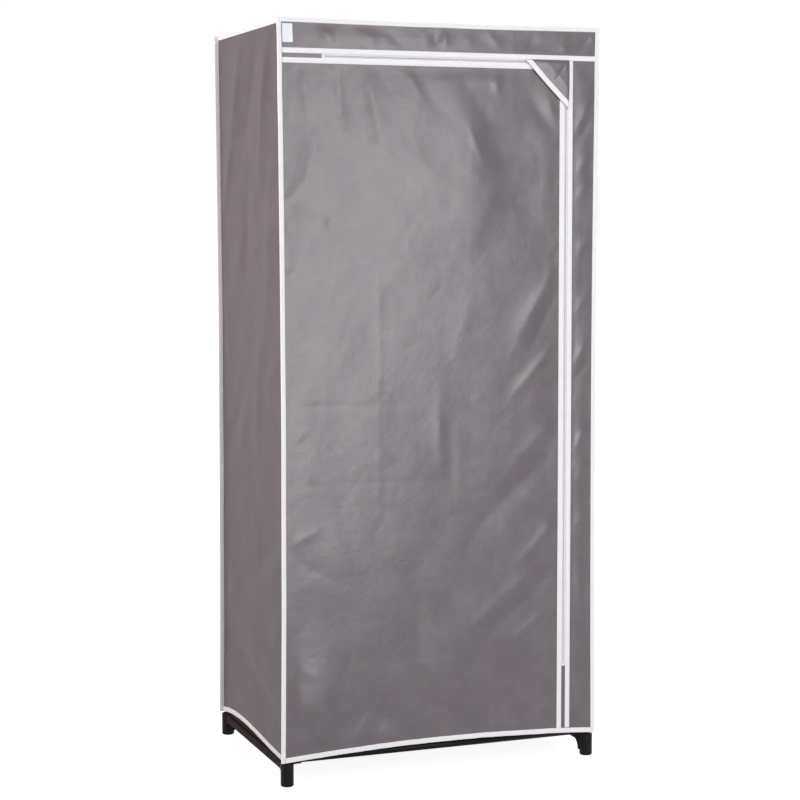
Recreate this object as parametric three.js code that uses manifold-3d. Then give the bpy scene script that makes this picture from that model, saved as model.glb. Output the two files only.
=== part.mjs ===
// Portable fabric wardrobe: a tube frame on moulded ends inside a zipped cloth cover.
// Millimetres, +Z up. The front faces -Y, and +X is to the right of someone who faces it.
import * as THREE from "three";
import { mergeVertices } from "three/addons/utils/BufferGeometryUtils.js";
import Module from "manifold-3d";

// Overall sizes
const coverWidth = 700; // over the bound seams at the sides
const coverDepth = 460; // front cloth face to back cloth face
const overallHeight = 1540; // floor to the top of the roof seams
const hemHeight = 54; // lowest edge of the cover, at its corners

// Cloth, tape and seams
const clothThickness = 1.2;
const clearance = 0.3; // between pieces that touch
const seamWidth = 9.2; // how far a bound seam stands out
const seamThickness = 2.4;
const bindingWidth = 10.5;
const bindingThickness = 1.2;
const labelThickness = 0.5;
const drawIn = 4.5; // how far the sides are drawn in at half height
const frontHemRise = 10; // how much higher the hem is in the middle of the front
const sideHemRise = 5;
const foldFade = 45; // the folds die out over this distance from a seam
const foldReach = 60; // width of a main fold, crest to foot
const frontFoldHeight = 4.5;
const sideFoldHeight = 3.5;
const clothStep = 75; // largest size of a cloth panel's facets

// Zips
const zipDrop = 74; // centre line of the top zip below the top of the roof seams
const zipInset = 75; // centre line of the side zip from the right seam's edge
const slotWidth = 8.6; // between the bindings at a zip
const topZipInset = 92; // left end of the top zip from the left seam's edge
const sideZipRise = 146; // lower end of the side zip above the hem's corners
const topZipGap = 6; // from the side zip's centre line to the top zip's fixed half
const sideZipGap = 5; // from the top zip's centre line to the side zip's fixed half
const stopLength = 6;
const tapeWidth = 10; // from the zip's centre line to the tape's far edge
const tapeThickness = 0.8;
const coilHalfGap = 0.8; // between a coil and the centre line
const coilWidth = 2.2;
const coilHeight = 2.1;

// Sliders and pulls
const sliderLength = 22;
const sliderWidth = 7;
const sliderPlate = 1.2;
const sliderWeb = 1;
const sliderWebLength = 8;
const sliderMargin = 2; // beyond a slider at its parking place
const sliderPlay = 0.4; // between a slider's plates and the coils
const backPlateDrop = 1.1; // between the tape and a slider's back plate
const bailLength = 12;
const bailPost = 2;
const bailWidth = 1.8;
const bailPlate = 0.8;
const bailRoom = 1.5; // under the bail
const pullLength = 24;
const pullWidth = 5.4;
const pullThickness = 0.8;
const pullPin = 0.9; // thickness of the bar under the bail
const pullWindow = 8;
const sliderInset = 23; // a parked slider's middle from the other zip's centre line

// The door flap
const foldGap = 1; // between the flap and the fixed panel along the fold line
const flapTip = 6; // width at which the flap's lower tip ends
const flapTapeStart = 20; // from the top end of the fold line to the flap's tape
const flapTapeRise = 50; // from the lower end of the fold line to the flap's tape
const pullRoom = 37; // from a parked slider's middle to the flap's side tape, past its pull

// The corner guard
const guardLeg = 98;
const guardLap = 0.7; // how far the guard lies on the bindings that it is sewn to
const guardRise = 5; // room under the guard
const guardSlope = 3.5; // width of the slope beside the guard's sewn edges
const guardCloth = 1;
const guardTip = 7;

// Label
const labelWidth = 21;
const labelHeight = 36.5;
const labelDrop = 3; // below the roof seam
const labelInset = 1; // from the seam beside it

// Frame tubes
const tubeRadius = 8;
const tubeWall = 1;
const socketWall = 1.5; // around a post
const bossWall = 2; // around a rail
const socketDepth = 28;
const bossDepth = 12;
const clothPlay = 0.8; // between the moulded ends and the cloth
const postGap = 5; // from a post's socket to the moulded end's outer face
const couplingLength = 60;
const couplingLip = 2; // stop between the two tubes in a coupling

// Base ends
const footRadius = 13.5;
const footHeight = 48;
const footRound = 2;
const footInsetX = 15; // foot centre from the side seam's edge
const footInsetY = 11; // foot centre from the cloth's face
const railBottom = 29.5; // lower edge of the side rail
const railInner = 29; // side rail's inner face from the side seam's edge
const railOuter = 7; // side rail's outer face from the side seam's edge
const railFillet = 20;
const baseRailHeight = 54; // centre of the front and rear base rails
const endWidth = 20; // moulded end's rail inside the cover

// Top ends and hanging rail
const topEndLip = 1; // of a top end, over and under its bosses
const topSocketDrop = 30; // how far the sockets reach below the top end
const hangerDrop = 18; // centre of the hanging rail below the top end
const hangerBlock = 30; // width of the block that holds the hanging rail
const hangerWall = 5; // under the hanging rail
const hangerSeat = 9; // depth of the hanging rail's seat

// Facets
const roundSides = 16;
const footSides = 20;
const filletSteps = 4;

// Places worked out from the sizes
const sideFace = coverWidth / 2 - seamWidth - clearance;
const footProud = footRadius - footInsetY;
const guardFace = guardRise + guardCloth + clearance;
const frontProud = guardFace + bindingThickness;
const frontY = -(coverDepth + footProud - frontProud) / 2;
const backY = frontY + coverDepth;
const middleY = (frontY + backY) / 2;
const roofZ = overallHeight - seamWidth - clearance;
const zipHeight = overallHeight - zipDrop;
const zipSide = coverWidth / 2 - zipInset;
const topZipEnd = coverWidth / 2 - topZipInset;
const sideZipEnd = hemHeight + sideZipRise;
const hemFade = sideZipRise - 2 * clearance; // height over which the hem's curve dies out in the cloth
const topZipStart = zipSide - topZipGap;
const sideZipStart = zipHeight - sideZipGap;
const topSliderPlace = zipSide - sliderInset;
const sideSliderPlace = zipHeight - sliderInset;
const slotTop = zipHeight + slotWidth / 2;
const slotBottom = zipHeight - slotWidth / 2;
const slotLeft = zipSide - slotWidth / 2;
const slotRight = zipSide + slotWidth / 2;
const socketRadius = tubeRadius + socketWall;
const bossRadius = tubeRadius + bossWall;
const endOuter = sideFace - clothThickness - clothPlay;
const endFront = frontY + clothThickness + clothPlay;
const endBack = backY - clothThickness - clothPlay;
const postX = endOuter - postGap - socketRadius;
const postFrontY = endFront + socketRadius;
const postBackY = endBack - socketRadius;
const baseTop = baseRailHeight + tubeRadius;
const topEndTop = roofZ - clothThickness - clearance;
const topEndHeight = 2 * (bossRadius + topEndLip);
const topEndBottom = topEndTop - topEndHeight;
const topRailZ = topEndBottom + topEndHeight / 2;
const hangerZ = topEndBottom - hangerDrop;
const sliderReach = stopLength + sliderLength + sliderMargin;
const foldTopX = -topZipEnd + sliderReach;
const foldSideZ = sideZipEnd + sliderReach;
const coilTop = coilHeight - clothThickness - clearance;
const bindingLeft = slotLeft - bindingWidth;
const hemTop = hemHeight + bindingWidth + clearance;

// Materials
const cloth = new THREE.MeshStandardMaterial({ color: 0x8a858a, roughness: 0.85, metalness: 0 });
const tape = new THREE.MeshStandardMaterial({ color: 0xe9e6ea, roughness: 0.8, metalness: 0 });
const plastic = new THREE.MeshStandardMaterial({ color: 0x231f1f, roughness: 0.5, metalness: 0 });
const steel = new THREE.MeshStandardMaterial({ color: 0x1b1919, roughness: 0.4, metalness: 0.3 });
const coil = new THREE.MeshStandardMaterial({ color: 0xeceaee, roughness: 0.5, metalness: 0 });
const metal = new THREE.MeshStandardMaterial({ color: 0xd5d5d8, roughness: 0.35, metalness: 0.8 });

const wardrobe = new THREE.Group();
const wasm = await Module();
wasm.setup();

// Adds one piece of the wardrobe.
function add(name, material, geometry) {
  const mesh = new THREE.Mesh(geometry, material);
  mesh.name = name;
  wardrobe.add(mesh);
}

// A closed geometry as a solid for joining and cutting.
function solidOf(geometry) {
  const bare = geometry.clone();
  bare.deleteAttribute("normal");
  bare.deleteAttribute("uv");
  const merged = mergeVertices(bare);
  return new wasm.Manifold(
    new wasm.Mesh({
      numProp: merged.attributes.position.itemSize,
      vertProperties: merged.attributes.position.array,
      triVerts: new Uint32Array(merged.index.array),
    }),
  );
}

// The other way round: a solid as a geometry.
function geometryOf(solid) {
  const mesh = solid.getMesh();
  const geometry = new THREE.BufferGeometry();
  geometry.setAttribute("position", new THREE.BufferAttribute(mesh.vertProperties, mesh.numProp));
  geometry.setIndex(new THREE.BufferAttribute(mesh.triVerts, 1));
  geometry.computeVertexNormals();
  return geometry;
}

function join(geometries) {
  return geometryOf(geometries.map(solidOf).reduce((whole, next) => whole.add(next)));
}

function cut(geometry, tools) {
  return geometryOf(tools.map(solidOf).reduce((whole, tool) => whole.subtract(tool), solidOf(geometry)));
}

// A block between two corners.
function block([x0, y0, z0], [x1, y1, z1]) {
  const geometry = new THREE.BoxGeometry(x1 - x0, y1 - y0, z1 - z0);
  return geometry.translate((x0 + x1) / 2, (y0 + y1) / 2, (z0 + z1) / 2);
}

// A round bar that stands on (x, y) from z0 to z1.
function uprightBar(radius, x, y, z0, z1) {
  const geometry = new THREE.CylinderGeometry(radius, radius, z1 - z0, roundSides);
  return geometry.rotateX(Math.PI / 2).translate(x, y, (z0 + z1) / 2);
}

// A round bar that lies along X through (y, z) from x0 to x1.
function levelBar(radius, x0, x1, y, z) {
  const geometry = new THREE.CylinderGeometry(radius, radius, x1 - x0, roundSides);
  return geometry.rotateZ(Math.PI / 2).translate((x0 + x1) / 2, y, z);
}

// A pipe from z = 0 up to its length.
function pipe(outer, inner, length) {
  const ring = new THREE.Shape().absarc(0, 0, outer, 0, 2 * Math.PI, false);
  ring.holes.push(new THREE.Path().absarc(0, 0, inner, 0, 2 * Math.PI, true));
  return new THREE.ExtrudeGeometry(ring, {
    depth: length,
    bevelEnabled: false,
    curveSegments: roundSides / 2,
  });
}

// Six times the volume inside a closed indexed geometry, negative where its faces point inwards.
function sixVolumes(geometry) {
  const position = geometry.attributes.position;
  const index = geometry.index.array;
  const corners = [new THREE.Vector3(), new THREE.Vector3(), new THREE.Vector3()];
  let sum = 0;
  for (let i = 0; i < index.length; i += 3) {
    corners.forEach((corner, k) => corner.fromBufferAttribute(position, index[i + k]));
    sum += corners[0].dot(corners[1].clone().cross(corners[2]));
  }
  return sum;
}

// Turns the faces of a closed indexed geometry outwards where they point inwards.
function facingOut(geometry) {
  const index = geometry.index.array;
  if (sixVolumes(geometry) < 0) {
    for (let i = 0; i < index.length; i += 3) {
      [index[i + 1], index[i + 2]] = [index[i + 2], index[i + 1]];
    }
  }
  geometry.computeVertexNormals();
  return geometry;
}

// The mirror image across the plane X = 0.
function mirrored(geometry) {
  return facingOut(geometry.clone().scale(-1, 1, 1));
}

// A closed sheet from a grid of places: faceOf(column, row) gives [outer point, inner point].
function sheet(columns, rows, faceOf) {
  const points = [];
  const faces = [];
  const at = (side, column, row) => 2 * (row * (columns + 1) + column) + side;
  for (let row = 0; row <= rows; row++) {
    for (let column = 0; column <= columns; column++) {
      const [outer, inner] = faceOf(column, row);
      points.push(...outer, ...inner);
    }
  }
  const quad = (a, b, c, d) => faces.push(a, b, c, a, c, d);
  for (let row = 0; row < rows; row++) {
    for (let column = 0; column < columns; column++) {
      quad(at(0, column, row), at(0, column + 1, row), at(0, column + 1, row + 1), at(0, column, row + 1));
      quad(at(1, column, row), at(1, column, row + 1), at(1, column + 1, row + 1), at(1, column + 1, row));
    }
  }
  for (let column = 0; column < columns; column++) {
    quad(at(0, column, 0), at(1, column, 0), at(1, column + 1, 0), at(0, column + 1, 0));
    quad(at(0, column + 1, rows), at(1, column + 1, rows), at(1, column, rows), at(0, column, rows));
  }
  for (let row = 0; row < rows; row++) {
    quad(at(0, 0, row + 1), at(1, 0, row + 1), at(1, 0, row), at(0, 0, row));
    quad(at(0, columns, row), at(1, columns, row), at(1, columns, row + 1), at(0, columns, row + 1));
  }
  const geometry = new THREE.BufferGeometry();
  geometry.setAttribute("position", new THREE.Float32BufferAttribute(points, 3));
  geometry.setIndex(faces);
  return facingOut(geometry);
}

// Heights between the given ones, no further apart than the step.
function levelsBetween(heights, step) {
  const levels = [heights[0]];
  for (let i = 1; i < heights.length; i++) {
    const parts = Math.max(1, Math.round((heights[i] - heights[i - 1]) / step));
    for (let k = 1; k <= parts; k++) {
      levels.push(THREE.MathUtils.lerp(heights[i - 1], heights[i], k / parts));
    }
  }
  return levels;
}

// How far the sides are drawn in at a height.
function drawInAt(z) {
  const share = THREE.MathUtils.clamp((z - hemHeight) / (roofZ - hemHeight), 0, 1);
  return drawIn * Math.sin(Math.PI * share);
}

function sideFaceAt(z) {
  return sideFace - drawInAt(z);
}

// How much a hem's middle is raised: along is the distance from the middle of a width.
function hemRiseAt(along, width, rise) {
  return rise * (1 - (2 * along / width) ** 2);
}

// How much of the hem's curve the cloth still follows at a height.
function hemShareAt(z) {
  return THREE.MathUtils.clamp(1 - (z - hemHeight) / hemFade, 0, 1);
}

// Main folds as ridges from one place to another, each place in shares of the panel's width and height.
// The height is a share of the panel's main fold height, below zero for a hollow.
const frontFoldShares = [
  { from: [0.26, 0.9], to: [0.54, 0.77], height: 0.7 },
  { from: [0.1, 0.93], to: [0.3, 0.8], height: -0.5 },
  { from: [0.36, 0.92], to: [0.6, 0.86], height: -0.5 },
  { from: [0.7, 0.88], to: [0.55, 0.62], height: -0.6 },
  { from: [0.62, 0.7], to: [0.45, 0.42], height: -0.5 },
  { from: [0.9, 0.66], to: [0.72, 0.51], height: 1 },
  { from: [0.88, 0.57], to: [0.66, 0.46], height: -0.7 },
  { from: [0.9, 0.35], to: [0.6, 0.19], height: 1 },
  { from: [0.88, 0.44], to: [0.55, 0.27], height: -0.8 },
  { from: [0.85, 0.22], to: [0.5, 0.1], height: -0.8 },
  { from: [0.4, 0.3], to: [0.32, 0.08], height: 0.6 },
  { from: [0.12, 0.4], to: [0.25, 0.12], height: 0.5 },
];
const sideFoldShares = [
  { from: [0.45, 0.95], to: [0.18, 0.76], height: 1 },
  { from: [0.6, 0.92], to: [0.45, 0.72], height: -0.8 },
  { from: [0.86, 0.95], to: [0.72, 0.8], height: 0.9 },
  { from: [0.3, 0.45], to: [0.12, 0.36], height: -0.6 },
  { from: [0.15, 0.22], to: [0.8, 0.1], height: -0.9 },
  { from: [0.3, 0.3], to: [0.85, 0.2], height: 0.7 },
];

const foldEndShare = 0.25; // how early the crest starts and how late it ends, for a height that is half there

function foldHeightAt(shares, width, height, across, up) {
  let sum = 0;
  for (const { from, to, height: share } of shares) {
    const start = new THREE.Vector2(from[0] * width, from[1] * height);
    const run = new THREE.Vector2(to[0] * width, to[1] * height).sub(start);
    const place = new THREE.Vector2(across, up).sub(start);
    const along = THREE.MathUtils.clamp(place.dot(run) / run.lengthSq(), 0, 1);
    const away = place.sub(run.multiplyScalar(along)).length();
    const crest = Math.sin(Math.PI * (along + foldEndShare) / (1 + 2 * foldEndShare));
    sum += share * crest * Math.exp(-((away / foldReach) ** 2));
  }
  return sum;
}

// Dies out to zero at a seam that is the given distance away.
function fadeAt(distance) {
  return THREE.MathUtils.smoothstep(distance, 0, foldFade);
}

// Height of the front cloth's face over the plane of the front.
function frontFaceAt(x, z) {
  const borders = [x + sideFaceAt(z), bindingLeft - x, slotBottom - bindingWidth - z, z - hemTop];
  const edge = Math.max(0, Math.min(...borders));
  const width = sideFace + slotLeft;
  const height = slotBottom - hemHeight;
  const folds = foldHeightAt(frontFoldShares, width, height, x + sideFace, z - hemHeight);
  return frontFoldHeight * fadeAt(edge) * folds;
}

// Height of a side's cloth face over the plane of that side, along from the back seam to the front.
function sideFaceHeightAt(along, z) {
  const edge = Math.max(0, Math.min(along, coverDepth - along, roofZ - z, z - hemTop));
  const folds = foldHeightAt(sideFoldShares, coverDepth, roofZ - hemHeight, along, z - hemHeight);
  return sideFoldHeight * fadeAt(edge) * folds;
}

// A sheet that lies in the front's plane: faceAt gives its height over that plane.
// The last column but one lies at border(z) where that is given: beyond it the sheet is flat.
function frontSheet({ levels, columns, left, right, faceAt, thickness, border, hem = false }) {
  return sheet(columns, levels.length - 1, (column, row) => {
    const level = levels[row];
    const evenColumns = border ? columns - 1 : columns;
    const evenRight = border ? border(level) : right(level);
    const even = THREE.MathUtils.lerp(left(level), evenRight, column / evenColumns);
    const x = column > evenColumns ? right(level) : even;
    const rise = hem ? hemRiseAt(x, coverWidth, frontHemRise) * hemShareAt(level) : 0;
    const face = faceAt(x, level);
    const z = level + rise;
    return [[x, frontY - face, z], [x, frontY - face + thickness, z]];
  });
}

// Fold line of the flap: its place along X at a height, and the other way round.
function foldX(z) {
  return foldTopX + (slotLeft - foldTopX) * (slotBottom - z) / (slotBottom - foldSideZ);
}

function foldZ(x) {
  return slotBottom - (x - foldTopX) * (slotBottom - foldSideZ) / (slotLeft - foldTopX);
}

// Cloth panels of the front
const always = (value) => () => value;
const flatCloth = always(0);
const bindingFace = always(clearance + bindingThickness);
const flapFoot = foldZ(slotLeft - flapTip);

function fixedPanelRight(z) {
  if (z < sideZipEnd - clearance) return slotRight - clearance;
  if (z < flapFoot - clearance) return slotLeft - clearance;
  if (z < slotBottom) return foldX(z) - foldGap / 2;
  return -topZipEnd - clearance;
}

function addFrontCloth() {
  const fixedHeights = [
    hemHeight + clearance,
    hemTop,
    sideZipEnd - 2 * clearance,
    sideZipEnd,
    flapFoot - 2 * clearance,
    flapFoot,
    slotBottom - bindingWidth,
    slotBottom - clearance,
    slotBottom,
    slotTop - clearance,
  ];
  add("cover_front_panel", cloth, frontSheet({
    levels: levelsBetween(fixedHeights, clothStep),
    columns: 9,
    left: (z) => -sideFaceAt(z),
    right: fixedPanelRight,
    border: (z) => Math.min(bindingLeft, fixedPanelRight(z) - bindingWidth),
    faceAt: frontFaceAt,
    thickness: clothThickness,
    hem: true,
  }));
  const flapLeft = (z) => foldX(z) + foldGap / 2;
  const flapHeights = [flapFoot, foldZ(bindingLeft), slotBottom - bindingWidth, slotBottom - clearance];
  add("door_flap", cloth, frontSheet({
    levels: levelsBetween(flapHeights, clothStep),
    columns: 8,
    left: flapLeft,
    right: always(slotLeft - clearance),
    border: (z) => Math.max(bindingLeft, (flapLeft(z) + slotLeft - clearance) / 2),
    faceAt: frontFaceAt,
    thickness: clothThickness,
  }));
  add("cover_strip_right", cloth, frontSheet({
    levels: levelsBetween([hemHeight + clearance, slotTop - clearance], 2 * clothStep),
    columns: 2,
    left: always(slotRight + clearance),
    right: sideFaceAt,
    faceAt: flatCloth,
    thickness: clothThickness,
    hem: true,
  }));
  add("cover_header", cloth, frontSheet({
    levels: [slotTop + clearance, roofZ],
    columns: 1,
    left: (z) => -sideFaceAt(z),
    right: sideFaceAt,
    faceAt: flatCloth,
    thickness: clothThickness,
  }));
}

// Side, back and roof cloth
function addSideCloth(name, side) {
  const levels = levelsBetween([hemHeight + clearance, hemTop, roofZ], clothStep);
  const columns = 8;
  const start = backY - clothThickness - clearance;
  const end = frontY + clothThickness + clearance;
  add(name, cloth, sheet(columns, levels.length - 1, (column, row) => {
    const level = levels[row];
    const y = THREE.MathUtils.lerp(start, end, column / columns);
    const rise = hemRiseAt(y - middleY, coverDepth, sideHemRise) * hemShareAt(level);
    const face = sideFaceAt(level) + sideFaceHeightAt(backY - y, level);
    return [[side * face, y, level + rise], [side * (face - clothThickness), y, level + rise]];
  }));
}

function addBackAndRoof() {
  const levels = levelsBetween([hemHeight + clearance, roofZ], 2 * clothStep);
  const columns = 4;
  add("cover_back", cloth, sheet(columns, levels.length - 1, (column, row) => {
    const level = levels[row];
    const x = THREE.MathUtils.lerp(-sideFaceAt(level), sideFaceAt(level), column / columns);
    const z = level + hemRiseAt(x, coverWidth, frontHemRise) * hemShareAt(level);
    return [[x, backY, z], [x, backY - clothThickness, z]];
  }));
  const roofX = sideFace - clothThickness - clearance;
  const roofFront = frontY + clothThickness + clearance;
  const roofBack = backY - clothThickness - clearance;
  add("cover_roof", cloth, block([-roofX, roofFront, roofZ - clothThickness], [roofX, roofBack, roofZ]));
}

// Bound seams
function addSeams() {
  const levels = levelsBetween([hemHeight, roofZ], 2 * clothStep);
  const uprights = [
    ["seam_front_left", -1, frontY],
    ["seam_front_right", 1, frontY],
    ["seam_back_left", -1, backY - seamThickness],
    ["seam_back_right", 1, backY - seamThickness],
  ];
  for (const [name, side, y] of uprights) {
    add(name, tape, sheet(1, levels.length - 1, (column, row) => {
      const x = side * (sideFaceAt(levels[row]) + clearance + column * seamWidth);
      return [[x, y, levels[row]], [x, y + seamThickness, levels[row]]];
    }));
  }
  const seamZ = roofZ + clearance;
  const outX = coverWidth / 2;
  const backEdge = backY - seamThickness;
  const frontEdge = frontY + seamThickness;
  add("roof_seam_front", tape, block([-outX, frontY, seamZ], [outX, frontEdge, overallHeight]));
  add("roof_seam_back", tape, block([-outX, backEdge, seamZ], [outX, backY, overallHeight]));
  for (const [name, side] of [["roof_seam_left", -1], ["roof_seam_right", 1]]) {
    const xs = [side * sideFace, side * (sideFace - seamThickness)].sort((a, b) => a - b);
    add(name, tape, block(
      [xs[0], frontEdge + clearance, seamZ],
      [xs[1], backEdge - clearance, overallHeight],
    ));
  }
}

// Hem bindings: a band that follows the hem's curve.
function addHems() {
  const columns = 10;
  const endX = sideFace - clearance;
  for (const [name, y, out] of [["hem_front", frontY, -1], ["hem_back", backY, 1]]) {
    add(name, tape, sheet(columns, 1, (column, row) => {
      const x = THREE.MathUtils.lerp(-endX, endX, column / columns);
      const z = hemHeight + hemRiseAt(x, coverWidth, frontHemRise) + row * bindingWidth;
      return [[x, y + out * (clearance + bindingThickness), z], [x, y + out * clearance, z]];
    }));
  }
  const hemStart = frontY + seamThickness + clearance;
  const hemEnd = backY - seamThickness - clearance;
  for (const [name, side] of [["hem_left", -1], ["hem_right", 1]]) {
    add(name, tape, sheet(columns, 1, (column, row) => {
      const y = THREE.MathUtils.lerp(hemStart, hemEnd, column / columns);
      const z = hemHeight + hemRiseAt(y - middleY, coverDepth, sideHemRise) + row * bindingWidth;
      const near = side * (sideFace + clearance);
      return [[near + side * bindingThickness, y, z], [near, y, z]];
    }));
  }
}

// Top of the front hem binding at a place along X, where upright bindings end.
function hemTopAt(x) {
  return hemHeight + hemRiseAt(x, coverWidth, frontHemRise) + bindingWidth + clearance;
}

function addFrontBindings() {
  const flat = { columns: 1, faceAt: bindingFace, thickness: bindingThickness };
  const lowLevels = [slotBottom - bindingWidth, slotBottom];
  const sideLow = Math.max(hemTopAt(bindingLeft), hemTopAt(slotRight));
  add("header_binding", tape, frontSheet({
    ...flat,
    levels: [slotTop, slotTop + bindingWidth],
    left: (z) => -sideFaceAt(z),
    right: sideFaceAt,
  }));
  add("panel_top_binding", tape, frontSheet({
    ...flat,
    levels: lowLevels,
    left: (z) => -sideFaceAt(z),
    right: (z) => foldX(z) - foldGap / 2,
  }));
  add("flap_top_binding", tape, frontSheet({
    ...flat,
    levels: lowLevels,
    left: (z) => foldX(z) + foldGap / 2,
    right: always(slotLeft),
  }));
  add("flap_side_binding", tape, frontSheet({
    ...flat,
    levels: [flapFoot, foldZ(bindingLeft), slotBottom - bindingWidth - clearance],
    left: (z) => Math.max(bindingLeft, foldX(z) + foldGap / 2),
    right: always(slotLeft),
  }));
  add("panel_side_binding", tape, frontSheet({
    ...flat,
    levels: [sideLow, flapFoot - clearance],
    left: always(bindingLeft),
    right: always(slotLeft),
  }));
  add("strip_binding", tape, frontSheet({
    ...flat,
    levels: [sideLow, slotTop - clearance],
    left: always(slotRight),
    right: always(slotRight + bindingWidth),
  }));
}

// Zips, in a frame of their own: U runs from the corner along the zip, V across it towards the flap,
// and N out of the front's plane.
const topZipFrame = new THREE.Matrix4().makeBasis(
  new THREE.Vector3(-1, 0, 0),
  new THREE.Vector3(0, 0, -1),
  new THREE.Vector3(0, -1, 0),
).setPosition(0, frontY, zipHeight);
const sideZipFrame = new THREE.Matrix4().makeBasis(
  new THREE.Vector3(0, 0, -1),
  new THREE.Vector3(-1, 0, 0),
  new THREE.Vector3(0, -1, 0),
).setPosition(zipSide, frontY, 0);

// Places a geometry that was made in a zip's frame.
function placed(geometry, frame) {
  return facingOut(geometryOf(solidOf(geometry)).applyMatrix4(frame));
}

// One half of a zip from u0 to u1: the tape behind the cloth and the coil at the slot.
function zipHalf(u0, u1, side) {
  const tapeTop = -clothThickness - clearance;
  const near = side * coilHalfGap;
  const far = side * tapeWidth;
  const coilFar = side * (coilHalfGap + coilWidth);
  const across = (a, b) => [Math.min(a, b), Math.max(a, b)];
  const [tapeLow, tapeHigh] = across(near, far);
  const [coilLow, coilHigh] = across(near, coilFar);
  return [
    block([u0, tapeLow, tapeTop - tapeThickness], [u1, tapeHigh, tapeTop]),
    block([u0, coilLow, tapeTop - tapeThickness], [u1, coilHigh, tapeTop + coilHeight]),
  ];
}

// The fixed half with the stop across its far end, and the other half's end, which stays on the fixed panel.
function fixedZip(start, endStart, end) {
  const tapeLow = -clothThickness - clearance - tapeThickness;
  const stopSide = coilHalfGap + coilWidth;
  const stop = block([end - stopLength, -stopSide, tapeLow], [end, stopSide, coilTop]);
  return join([...zipHalf(start, end, -1), ...zipHalf(endStart, end, 1), stop]);
}

function addZips() {
  const topEndStart = foldGap - foldX(zipHeight - coilHalfGap);
  const sideEndStart = foldGap - foldZ(zipSide - coilHalfGap);
  const topFixed = fixedZip(-topZipStart, topEndStart, topZipEnd);
  const sideFixed = fixedZip(-sideZipStart, sideEndStart, -sideZipEnd);
  add("zip_top_fixed", coil, placed(topFixed, topZipFrame));
  add("zip_side_fixed", coil, placed(sideFixed, sideZipFrame));
  const topFlapEnd = topSliderPlace - sliderLength / 2 - sliderMargin;
  const sideFlapEnd = sideSliderPlace - pullRoom;
  const topHalf = join(zipHalf(-topFlapEnd, -foldTopX - flapTapeStart, 1));
  const sideHalf = join(zipHalf(-sideFlapEnd, -foldSideZ - flapTapeRise, 1));
  add("zip_top_flap", coil, placed(topHalf, topZipFrame));
  add("zip_side_flap", coil, placed(sideHalf, sideZipFrame));
}

// A slider around its own middle: front plate, web between the coils, back plate and bail.
function sliderSolid() {
  const half = sliderLength / 2;
  const width = sliderWidth / 2;
  const plateLow = coilTop + sliderPlay;
  const plateTop = plateLow + sliderPlate;
  const backTop = -clothThickness - clearance - tapeThickness - backPlateDrop;
  const backLow = backTop - sliderPlate;
  const bailHalf = bailLength / 2;
  const bailLow = plateTop + bailRoom;
  const web = sliderWebLength / 2;
  const bailTop = bailLow + bailPlate;
  const post = (u) => block([u, -bailWidth / 2, plateLow], [u + bailPost, bailWidth / 2, bailTop]);
  return join([
    block([-half, -width, plateLow], [half, width, plateTop]),
    block([-half, -width, backLow], [half, width, backTop]),
    block([-web, -sliderWeb / 2, backLow], [web, sliderWeb / 2, plateTop]),
    block([-bailHalf, -bailWidth / 2, bailLow], [bailHalf, bailWidth / 2, bailTop]),
    post(-bailHalf),
    post(bailHalf - bailPost),
  ]);
}

// A pull around its pivot under the bail: it points to +U when way is 1 and to -U when way is -1.
function pullSolid(way) {
  const half = pullWidth / 2;
  const start = -pullPin / 2;
  const plate = block([start, -half, -pullThickness / 2], [pullLength, half, pullThickness / 2]);
  const windowHalf = bailWidth / 2 + clearance;
  const room = block([pullPin / 2, -windowHalf, -pullThickness], [pullWindow, windowHalf, pullThickness]);
  const geometry = cut(plate, [room]);
  return way > 0 ? geometry : geometry.rotateZ(Math.PI);
}

const pivotHeight = coilTop + sliderPlay + sliderPlate + bailRoom / 2;

function addSliders() {
  const top = sliderSolid().translate(-topSliderPlace, 0, 0);
  const side = sliderSolid().translate(-sideSliderPlace, 0, 0);
  add("zip_slider_top", metal, placed(top, topZipFrame));
  add("zip_slider_side", metal, placed(side, sideZipFrame));
  const topPull = pullSolid(-1).translate(-topSliderPlace, 0, pivotHeight);
  const sidePull = pullSolid(1).translate(-sideSliderPlace, 0, pivotHeight);
  add("pull_tab_top", metal, placed(topPull, topZipFrame));
  add("pull_tab_side", metal, placed(sidePull, sideZipFrame));
}

// The guard over the corner where the zips meet: sewn along its top and its right edge, free at the diagonal.
function addCornerGuard() {
  const top = slotTop + guardLap;
  const right = slotRight + guardLap;
  const low = clearance + bindingThickness + clearance;
  const foot = top - guardLeg + guardTip;
  const guardLeft = (z) => right - guardLeg + (top - z);
  const faceAt = (x, z) => {
    const slope = Math.min(1, (top - z) / guardSlope, (right - x) / guardSlope);
    return low + (guardRise - low) * slope + guardCloth;
  };
  const levels = [...levelsBetween([foot, top - guardSlope], guardLeg / 4), top];
  const flatColumns = 3;
  add("corner_guard", cloth, sheet(flatColumns + 1, levels.length - 1, (column, row) => {
    const z = levels[row];
    const flatX = THREE.MathUtils.lerp(guardLeft(z), right - guardSlope, column / flatColumns);
    const x = column > flatColumns ? right : flatX;
    const face = faceAt(x, z);
    return [[x, frontY - face, z], [x, frontY - face + guardCloth, z]];
  }));
  const across = bindingWidth * Math.SQRT2;
  const ends = [foot + guardSlope, top - guardSlope];
  add("guard_binding", tape, frontSheet({
    levels: ends,
    columns: 1,
    left: (z) => guardLeft(z) - across / 4,
    right: (z) => guardLeft(z) + across * 3 / 4,
    faceAt: always(frontProud),
    thickness: bindingThickness,
  }));
}

function addLabel() {
  const left = -sideFace + labelInset;
  const top = roofZ - labelDrop;
  add("sewn_label", tape, frontSheet({
    levels: [top - labelHeight, top],
    columns: 1,
    left: always(left),
    right: always(left + labelWidth),
    faceAt: always(clearance + labelThickness),
    thickness: labelThickness,
  }));
}

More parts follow.
